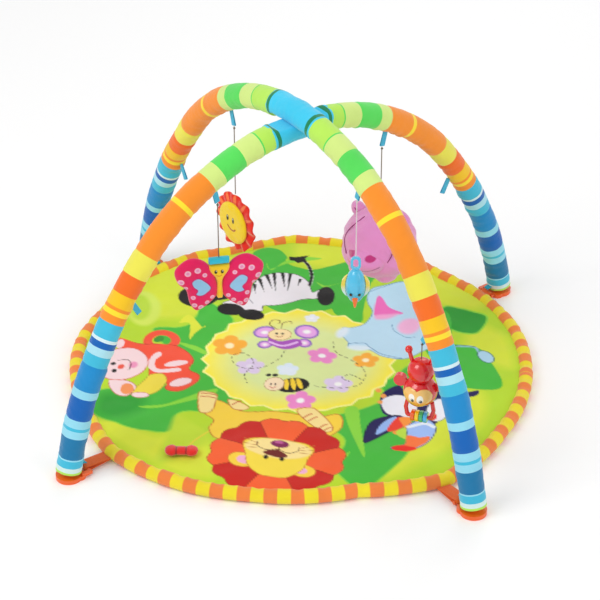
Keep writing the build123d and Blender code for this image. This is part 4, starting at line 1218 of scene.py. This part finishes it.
# %% Ribbon loops
LOOP_DROP, LOOP_WIDTH, LOOP_GAP = 28.0, 10.0, 1.25
blue_ribbon = cloth("blue ribbon", (70, 185, 225), scale=900, variation=0.2, bump=0.4)
LOOPS = {
    LOWER: (((-125.2, -156.9, 457.0), (-120.6, -152.5, 429.7)),
            ((-247.7, -275.2, 297.2), (-238.3, -266.1, 272.5)),
            ((138.9, 98.2, 446.7), (133.8, 93.2, 419.6)), ((247.7, 203.2, 297.2), (238.3, 194.1, 272.5))),
    UPPER: (((118.4, -158.6, 480.5), (113.8, -153.9, 453.3)), ((247.1, -291.9, 288.4),
                                                               (237.6, -282.0, 264.0)),
            ((-134.9, 103.7, 467.1), (-129.6, 98.3, 440.1)), ((-249.9, 222.7, 281.8),
                                                              (-240.3, 212.8, 257.4))),
}
for arch, name in ((LOWER, "lower_arch_ribbon_loops"), (UPPER, "upper_arch_ribbon_loops")):
    parts = []
    for root, eye in LOOPS[arch]:
        root, eye = np.array(root), np.array(eye)
        down = (eye - root) / np.linalg.norm(eye - root)
        wide = np.cross(down, arch.side)
        depth = np.concatenate([np.linspace(-3, LOOP_DROP - 3, 9),
                                LOOP_DROP - 3 + 2.2 * np.sin(np.linspace(0.3, 2.84, 8)),
                                np.linspace(LOOP_DROP - 3, -3, 9)])
        bend = np.concatenate([np.linspace(0.5, 1, 9), np.cos(np.linspace(0.3, 2.84, 8)),
                               np.linspace(-1, -0.5, 9)])
        line = root + depth[:, None] * down + (bend * LOOP_GAP)[:, None] * arch.side
        parts.append(strip(line, wide, LOOP_WIDTH, 0.7))
    points, faces = joined(parts)
    piece(f"{name}_ribbon", points * MM, faces, arch.body, blue_ribbon, (name,))
print("ribbon loops: 8")

# %% [markdown]
# ## Stuffed shapes
# A flat stuffed toy is two equal pieces of cloth sewn round their edge and filled. Its thickness grows
# quickly near the seam and levels off. The helper fills an outline this way, and a print on it shows the
# same on both sides.


# %% A stuffed outline
def pillow(outline, thickness, roll, spacing, seed, wrinkle=0.3, smooth=True):
    """Local points, faces and flat places of a stuffed outline. roll is the width of its slope."""
    outline = rounded(outline) if smooth else np.asarray(outline, float)
    steps = np.linalg.norm(np.roll(outline, -1, 0) - outline, axis=1)
    run = np.concatenate([[0], np.cumsum(steps)])
    closed = np.vstack([outline, outline[:1]])
    marks = np.linspace(0, run[-1], int(run[-1] / spacing), endpoint=False)
    rim = np.column_stack([np.interp(marks, run, closed[:, k]) for k in (0, 1)])
    low, high = rim.min(0), rim.max(0)
    x, y = (axis.ravel() for axis in np.meshgrid(*(np.arange(low[k], high[k], spacing) for k in (0, 1))))
    grid = np.column_stack([x, y])
    grid = grid[inside(rim, grid) & (distance_to(rim, grid) > spacing * 0.6)]
    edges = [(i, (i + 1) % len(rim)) for i in range(len(rim))]
    spots = [Vector(spot) for spot in np.vstack([rim, grid])]
    flat, _, triangles, *_ = delaunay_2d_cdt(spots, edges, [], 1, 1e-6)
    flat = np.array(flat)
    depth = distance_to(rim, flat)
    half = thickness / 2 * np.sqrt(1 - (1 - np.clip(depth / roll, 0, 1)) ** 2)
    uneven = wrinkle * unevenness(flat[:, 0], flat[:, 1], seed, 16) * np.clip(depth / 6, 0, 1)
    at_rim = depth < 1e-4
    back_index = np.where(at_rim, np.arange(len(flat)), -1)
    back_index[~at_rim] = len(flat) + np.arange((~at_rim).sum())
    front = np.column_stack([flat, half + uneven])
    back = np.column_stack([flat, -half + uneven])[~at_rim]
    faces = [tuple(t) for t in triangles] + [tuple(back_index[i] for i in t)[::-1] for t in triangles]
    return np.vstack([front, back]), faces, np.vstack([flat, flat[~at_rim]])


# %% Where each toy hangs
FACING = {"flower": -136, "butterfly": -72, "hippo": -111, "bird": -86, "monkey": -100}
TOP_OVER_MIDDLE = {"flower": 58.0, "butterfly": 48.3, "hippo": 67.0, "bird": 57.5, "monkey": 63.0}


def hang(toy, local):
    """Turns a toy's own millimetres (right, up, towards the viewer) into metres in the room."""
    turn = math.radians(FACING[toy])
    towards = np.array((math.cos(turn), math.sin(turn), 0))
    right = np.cross((0, 0, 1.0), towards)
    eye = joints[f"{toy}_swing"]["pos_m"]
    middle = np.array((eye[0], eye[1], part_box(f"{toy}_cord")[0][2])) - (0, 0,
                                                                        (TOP_OVER_MIDDLE[toy] + 0.3) * MM)
    local = np.asarray(local, float) * MM
    return middle + local[:, :1] * right + local[:, 1:2] * (0, 0, 1.0) + local[:, 2:] * towards


TOY_SPACING = 1.0


def printed_toy(name, toy, shape, ground, nodes, drawings, lift=0.0):
    """A stuffed outline with the same print on its front and its back."""
    local, faces, flat = shape
    made = piece(name, hang(toy, local + (0, 0, lift)), faces, toy, printed_felt, nodes)
    face_print = Print(flat, ground, soft=1.0)
    for drawing in drawings:
        drawing(face_print)
    paint_points(made, "print", face_print.colour)
    return made


printed_felt = cloth("printed felt", attribute="print", scale=1400, variation=0.2, bump=0.25, sheen=0.4)

# %% [markdown]
# ## The butterfly
# Two stuffed magenta wings, a yellow body and a blue cap. White dots follow the wings' edge, and each
# wing has a pale blue heart.

# %% Butterfly
WING = ((6.3, -28), (6.3, 6), (22, 40), (50, 50), (76, 30), (72, 4), (58, -12), (52, -40), (38, -54))
WING_DOTS = ((38, 30, 5.5), (55, 26, 5.5), (67, 9, 5.5), (26, 20, 4), (59, -4, 3.5), (47, -24, 4),
             (45, -40, 4.5), (34, -45, 5), (23, -36, 4), (14, -26, 3.8))
WING_HEART = ((16, -6), (28, 9), (38, 14), (48, 8), (46, -2), (39, -10), (42, -18), (33, -21), (24, -17))


def wing_print(side):
    def draw(wing):
        wing.fill([(side * x, y) for x, y in WING_HEART], (150, 205, 245), edge=(190, 20, 110),
                  edge_width=1.6)
        for x, y, size in WING_DOTS:
            wing.oval(side * x, y, size, size, (250, 200, 225))
            wing.oval(side * x, y, size * 0.55, size * 0.55, (240, 150, 200))
    return draw


wing_parts, wing_colours = [], []
for side in (-1, 1):
    local, faces, flat = pillow([(side * x, y) for x, y in WING], 17, 15, TOY_SPACING, 5 + side, smooth=True)
    wing = Print(flat, (236, 26, 100), soft=1.0)
    wing_print(side)(wing)
    wing_parts.append((hang("butterfly", local), faces))
    wing_colours.append(wing.colour)
points, faces = joined(wing_parts)
wings = piece("butterfly_stuffed_wings", points, faces, "butterfly", printed_felt,
              ("butterfly_wings",))
paint_points(wings, "print", np.concatenate(wing_colours))


def butterfly_face(body):
    for x in (-7, 4):
        body.oval(x, 25, 2.6, 3.8, BLACK)
        body.oval(x + 0.8, 26.4, 0.8, 1.0, WHITE)
    body.line(((-6, 18), (-1.5, 16), (3, 18)), (210, 90, 30), 1.3)


BODY = ((-5.8, -28), (-5.6, 4), (-17, 24), (-18, 34), (-14, 36), (14, 36), (18, 34), (17, 24), (5.6, 4),
        (5.8, -28), (0, -32))
printed_toy("butterfly_stuffed_body", "butterfly", pillow(BODY, 20, 8, TOY_SPACING, 9), (250, 208, 40),
            ("butterfly_body",), [butterfly_face])
CAP = ((-18, 37), (-18, 47), (-15, 48.3), (15, 48.3), (18, 47), (18, 37), (15, 36.3), (-15, 36.3))
printed_toy("butterfly_stuffed_cap", "butterfly", pillow(CAP, 13.5, 5, TOY_SPACING, 10), (50, 195, 225),
            ("butterfly_cap",), [])

# %% [markdown]
# ## The flower
# A pleated ring of red petals stands round a yellow face. The pleats are a wave across the ring. Their
# inner folds show a lighter lining.

# %% Petal ring
PLEATS = 12


def petal_ring():
    turns = np.linspace(0, 2 * math.pi, 360, endpoint=False)
    shares = np.concatenate([np.linspace(0, 1, 16), np.linspace(1, 0, 16)[1:-1]])
    front = np.concatenate([np.ones(16), -np.ones(14)])
    t, share = np.meshgrid(turns, shares, indexing="ij")
    radius = 33 + share * (23.4 + 1.6 * np.cos(PLEATS * t))
    wave = 3.2 * share * np.sin(PLEATS * t + 0.6) + 1.2 * share * np.sin(5 * t)
    thick = front[None, :] * 3.1 * np.sqrt(np.clip(1 - share**6, 0, 1))
    points = np.stack([radius * np.cos(t), radius * np.sin(t), wave + thick], 2)
    rows, sides = points.shape[:2]
    faces = []
    for i in range(rows):
        for j in range(sides):
            k, n = (j + 1) % sides, (i + 1) % rows
            faces.append((i * sides + j, n * sides + j, n * sides + k, i * sides + k))
    return points.reshape(-1, 3), faces, t.ravel(), share.ravel()


points, faces, t, share = petal_ring()
petals = piece("flower_petal_ring", hang("flower", points), faces, "flower", printed_felt,
               ("flower_petals",))
fold = np.clip((np.cos(PLEATS * t + 0.6) - 0.35 - share * 0.55) * 6, 0, 1)[:, None]
paint_points(petals, "print", linear((232, 38, 22)) * (1 - fold) + linear((252, 128, 72)) * fold)

# %% Flower face and back
def disc(radius, count=40):
    t = np.linspace(0, 2 * math.pi, count, endpoint=False)
    return np.column_stack([radius * np.cos(t), radius * np.sin(t)])


def flower_look(face):
    for x, y in ((-10, 9), (7, 9)):
        face.oval(x, y, 3.2, 6.0, BLACK)
        face.oval(x - 0.6, y + 2.6, 1.0, 1.6, WHITE)
    face.line(((-10, -7), (-2, -12), (8, -12), (13, -8)), (170, 60, 20), 3.0)


printed_toy("flower_stuffed_face", "flower", pillow(disc(41), 10, 14, TOY_SPACING, 12, smooth=False),
            (246, 212, 20),
            ("flower_face",), [flower_look], lift=6.5)
printed_toy("flower_stuffed_back", "flower", pillow(disc(40), 10, 14, TOY_SPACING, 13, smooth=False),
            (215, 30, 24),
            ("flower_back",), [], lift=-6.5)

# %% [markdown]
# ## The plush hippo
# The plush is sewn from panels and stuffed. Round shapes are melted together into one skin, then the skin
# is smoothed. Thin dark cords mark the seams.


# %% Melting round shapes together
def melted(blobs, cell, smoothing):
    """Points and faces of one skin over several egg shapes, each (centre, half sizes)."""
    mesh = bpy.data.meshes.new("blobs")
    parts = []
    for centre, sizes in blobs:
        up = np.linspace(0.02, math.pi - 0.02, 25)
        around = np.linspace(0, 2 * math.pi, 40, endpoint=False)
        line = np.column_stack([np.zeros(25), np.zeros(25), np.cos(up)])
        points, faces = tube(line, np.sin(up), 40)
        parts.append((points * sizes + centre, faces))
    points, faces = joined(parts)
    mesh.from_pydata([tuple(point) for point in points], [], faces)
    shape = bpy.data.objects.new("blobs", mesh)
    bpy.context.scene.collection.objects.link(shape)
    remesh = shape.modifiers.new("one skin", "REMESH")
    remesh.mode, remesh.voxel_size = "VOXEL", cell
    smooth = shape.modifiers.new("smooth", "SMOOTH")
    smooth.factor, smooth.iterations = 0.6, smoothing
    skin = shape.evaluated_get(bpy.context.evaluated_depsgraph_get()).to_mesh()
    points = np.array([vertex.co for vertex in skin.vertices])
    faces = [tuple(polygon.vertices) for polygon in skin.polygons]
    bpy.data.objects.remove(shape)
    return points, faces


# %% The hippo's skin
PLUSH = (242, 150, 215)
HIPPO_HALF_SIZES = (67, 66, 67)
DARK_SEAM = (150, 30, 110)
plush_cloth = cloth("pink plush", attribute="print", scale=1100, variation=0.25, bump=0.5, sheen=0.8)


def plush(name, blobs, nodes, seed):
    points, faces = melted(blobs, 2.0, 14)
    x, y, z = points.T
    points = points + points / np.linalg.norm(points, axis=1)[:, None] * 0.9 * unevenness(x + z, y - z,
                                                                                          seed, 34)[:, None]
    made = piece(name, hang("hippo", points), faces, "hippo", plush_cloth, nodes)
    made_print = Print(points[:, :2], PLUSH, soft=1.2)
    if name == "hippo_stuffed_muzzle":
        made_print.oval(-24, 2, 9, 5.5, (205, 45, 130), turn=6)
        made_print.oval(16, 2, 9, 5.5, (205, 45, 130), turn=-6)
        made_print.line(((-34, -14), (-14, -22), (10, -23), (32, -14)), DARK_SEAM, 1.6)
        made_print.oval(-26, -13, 7, 4, (240, 90, 150), soft=5)
    paint_points(made, "print", made_print.colour)
    return points


plush("hippo_stuffed_body", [((0, 0, 0), HIPPO_HALF_SIZES), ((0, -22, 10), (66, 42, 56))]
      + [((x * 26, -50, z * 26), (21, 17, 21)) for x in (-1, 1) for z in (-1, 1)], ("hippo_body",), 91)
plush("hippo_stuffed_muzzle", [((0, -12, 42), (41, 27, 40))], ("hippo_muzzle",), 92)
plush("hippo_stuffed_ears", [((x, 54, 0), (15, 16, 9)) for x in (-44, 44)], ("hippo_ears",), 93)


def seam(name, local, body="hippo", radius=0.8):
    line = hang(body, local)
    points, faces = tube(line, np.full(len(line), radius * MM), 8)
    piece(name, points, faces, body, seam_thread)


def on_egg(across, height, sizes, centre=(0, 0, 0), lift=0.3):
    """Points on an egg shape's front, from their places across and up."""
    x, y = np.asarray(across, float), np.asarray(height, float)
    room = 1 - ((x - centre[0]) / sizes[0]) ** 2 - ((y - centre[1]) / sizes[1]) ** 2
    return np.column_stack([x, y, centre[2] + (sizes[2] + lift) * np.sqrt(np.clip(room, 0, 1))])


seam_thread = cloth("seam thread", DARK_SEAM, scale=3000, bump=0.4)
t = np.linspace(-0.25, math.pi + 0.25, 40)
seam("hippo_muzzle_seam", on_egg(42.5 * np.cos(t), -12 - 25 * np.sin(t), HIPPO_HALF_SIZES, lift=1.2))
for side in (-1, 1):
    height = np.linspace(58, -34, 30)
    seam(f"hippo_cheek_seam_{'left' if side < 0 else 'right'}",
         on_egg(side * (18 + 30 * np.sin((58 - height) / 92 * math.pi)), height, HIPPO_HALF_SIZES, lift=0.9))
    bow = np.linspace(-0.9, 0.9, 20)
    seam(f"hippo_ear_seam_{'left' if side < 0 else 'right'}",
         on_egg(side * (40 + 9 * np.sin(bow)), 50 + 10 * bow, HIPPO_HALF_SIZES, lift=0.0) * (1, 1,
                                                                                             0) + (0, 0, 9))
print("hippo: body, muzzle, ears and seams")

# %% [markdown]
# ## The hard rattles
# The bird and the monkey are moulded. Their shells, wings, hat and handle already have the right shape,
# so they only need the gloss of their plastic. The monkey's face is a thin plate that follows the head,
# with eyes and a smile printed on it.

# %% Rattle finishes
for node, name, colour in (
    ("bird_front_shell", "sky plastic", (70, 195, 240)), ("bird_back_shell", "sky plastic back",
                                                          (70, 195, 240)),
    ("bird_beak", "beak plastic", (240, 110, 14)), ("bird_eyes", "black plastic", (16, 14, 20)),
    ("monkey_front_shell", "red plastic", (228, 16, 22)), ("monkey_back_shell", "red plastic back",
                                                           (228, 16, 22)),
    ("monkey_hat", "red plastic hat", (228, 16, 22)), ("monkey_handle", "red plastic handle", (222, 20, 24)),
    ("monkey_bead_orange", "orange bead", (244, 100, 20)), ("monkey_bead_yellow", "yellow bead",
                                                            (250, 210, 20)),
    ("monkey_bead_green", "green bead", (60, 190, 110)), ("monkey_bead_blue", "blue bead", (70, 185, 235)),
    ("bird_pellets", "bird pellets", (240, 240, 240)), ("monkey_pellets", "monkey pellets", (240, 240, 240)),
):
    dress(node, plastic(name, colour, rough=0.16, coat=0.9))


def wing_plastic():
    """Yellow plastic that turns white towards the bottom."""
    material = plastic("wing plastic", (250, 226, 60), rough=0.2, coat=0.7)
    nodes, links = material.node_tree.nodes, material.node_tree.links
    place = nodes.new("ShaderNodeTexCoord")
    height = nodes.new("ShaderNodeSeparateXYZ")
    share = nodes.new("ShaderNodeMapRange")
    low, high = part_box("bird_wings")
    share.inputs["From Min"].default_value = low[2] + 0.2 * (high[2] - low[2])
    share.inputs["From Max"].default_value = low[2] + 0.55 * (high[2] - low[2])
    ramp = nodes.new("ShaderNodeValToRGB")
    ramp.color_ramp.elements[0].color = rgba((215, 242, 240))
    ramp.color_ramp.elements[1].color = rgba((248, 222, 70))
    links.new(place.outputs["Object"], height.inputs[0])
    links.new(height.outputs["Z"], share.inputs["Value"])
    links.new(share.outputs["Result"], ramp.inputs[0])
    links.new(ramp.outputs["Color"], nodes["Principled BSDF"].inputs["Base Color"])
    return material


dress("bird_wings", wing_plastic())

# %% The monkey's face plate
HEAD = (29.0, 27.0, 29.0)


def monkey_face_plate():
    lobes = [disc(15) + centre for centre in ((-10, 2), (10, 2), (0, -8))]
    around = np.radians(np.arange(0, 360, 4.0))
    rim = []
    for t in around:
        ray = np.outer(np.arange(0, 30, 0.25), (math.cos(t), math.sin(t))) + (0, -3)
        held = np.any([inside(lobe, ray) for lobe in lobes], axis=0)
        rim.append(ray[np.where(held)[0].max()])
    local, faces, flat = pillow(rim, 2.0, 5, 0.7, 15, wrinkle=0.0, smooth=False)
    room = 1 - (flat[:, 0] / HEAD[0]) ** 2 - (flat[:, 1] / HEAD[1]) ** 2
    local[:, 2] += HEAD[2] * np.sqrt(np.clip(room, 0.02, 1)) + 0.5
    return local, faces, flat


local, faces, flat = monkey_face_plate()
face = Print(flat, (250, 196, 108), soft=0.8)
face.oval(0, -14, 16, 9, (246, 166, 62), soft=8)
for x, y in ((-8, 1.5), (6.5, 0.5)):
    face.oval(x, y, 5.4, 7.6, (250, 246, 236))
for x, y in ((-6.4, -2.6), (7.8, -3.4)):
    face.oval(x, y, 2.8, 3.2, BLACK)
    face.oval(x - 0.9, y + 1.2, 0.8, 0.8, WHITE)
face.line(((-9, -11.5), (-5, -14.8), (0, -15), (4, -13)), (120, 40, 16), 1.4)
printed_plastic = plastic("printed face plastic", attribute="print", rough=0.22, coat=0.7)
plate = piece("monkey_face_plate", hang("monkey", local), faces, "monkey", printed_plastic,
              ("monkey_face",))
paint_points(plate, "print", face.colour)

# %% [markdown]
# ## The bow on the mat
# A small stuffed cherry is sewn flat on the front of the mat. Two tight stitches cross it and pull it in, and
# painted shade darkens the red along these creases.
# Its yellow stem is part of the print.

# %% Bow
low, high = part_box("mat_bow")
centre = (np.array(low) + np.array(high)) / 2 / MM
BOW = ((-27, -7), (-28, 6), (-17, 13), (-8, 9.5), (8, 9.5), (18, 13), (28, 6), (27, -7), (17, -12.5),
       (8, -9.5), (-8, -9.5), (-17, -12.5))
local, faces, flat = pillow(BOW, high[2] / MM - low[2] / MM, 10, 1.2, 17, wrinkle=0.2)
fold = np.exp(-((np.abs(flat[:, 0]) - 8.5) / 1.6) ** 2)
local[:, 2] *= 1 - 0.3 * fold
turn = math.radians(5)
points = np.column_stack([
    centre[0] + local[:, 0] * math.cos(turn) - local[:, 1] * math.sin(turn),
    centre[1] + local[:, 0] * math.sin(turn) + local[:, 1] * math.cos(turn),
    centre[2] + local[:, 2],
])
velour = cloth("red velour", attribute="print", scale=1300, variation=0.25, bump=0.4, sheen=0.7)
bow = piece("mat_stuffed_bow", points * MM, faces, ROOT, velour, ("mat_bow",))
red = linear((232, 30, 30))
# Painted shade: the red is made up to 60 percent darker in the creases where the stitches pull the cloth in.
paint_points(bow, "print", red * (1 - 0.6 * fold[:, None]))
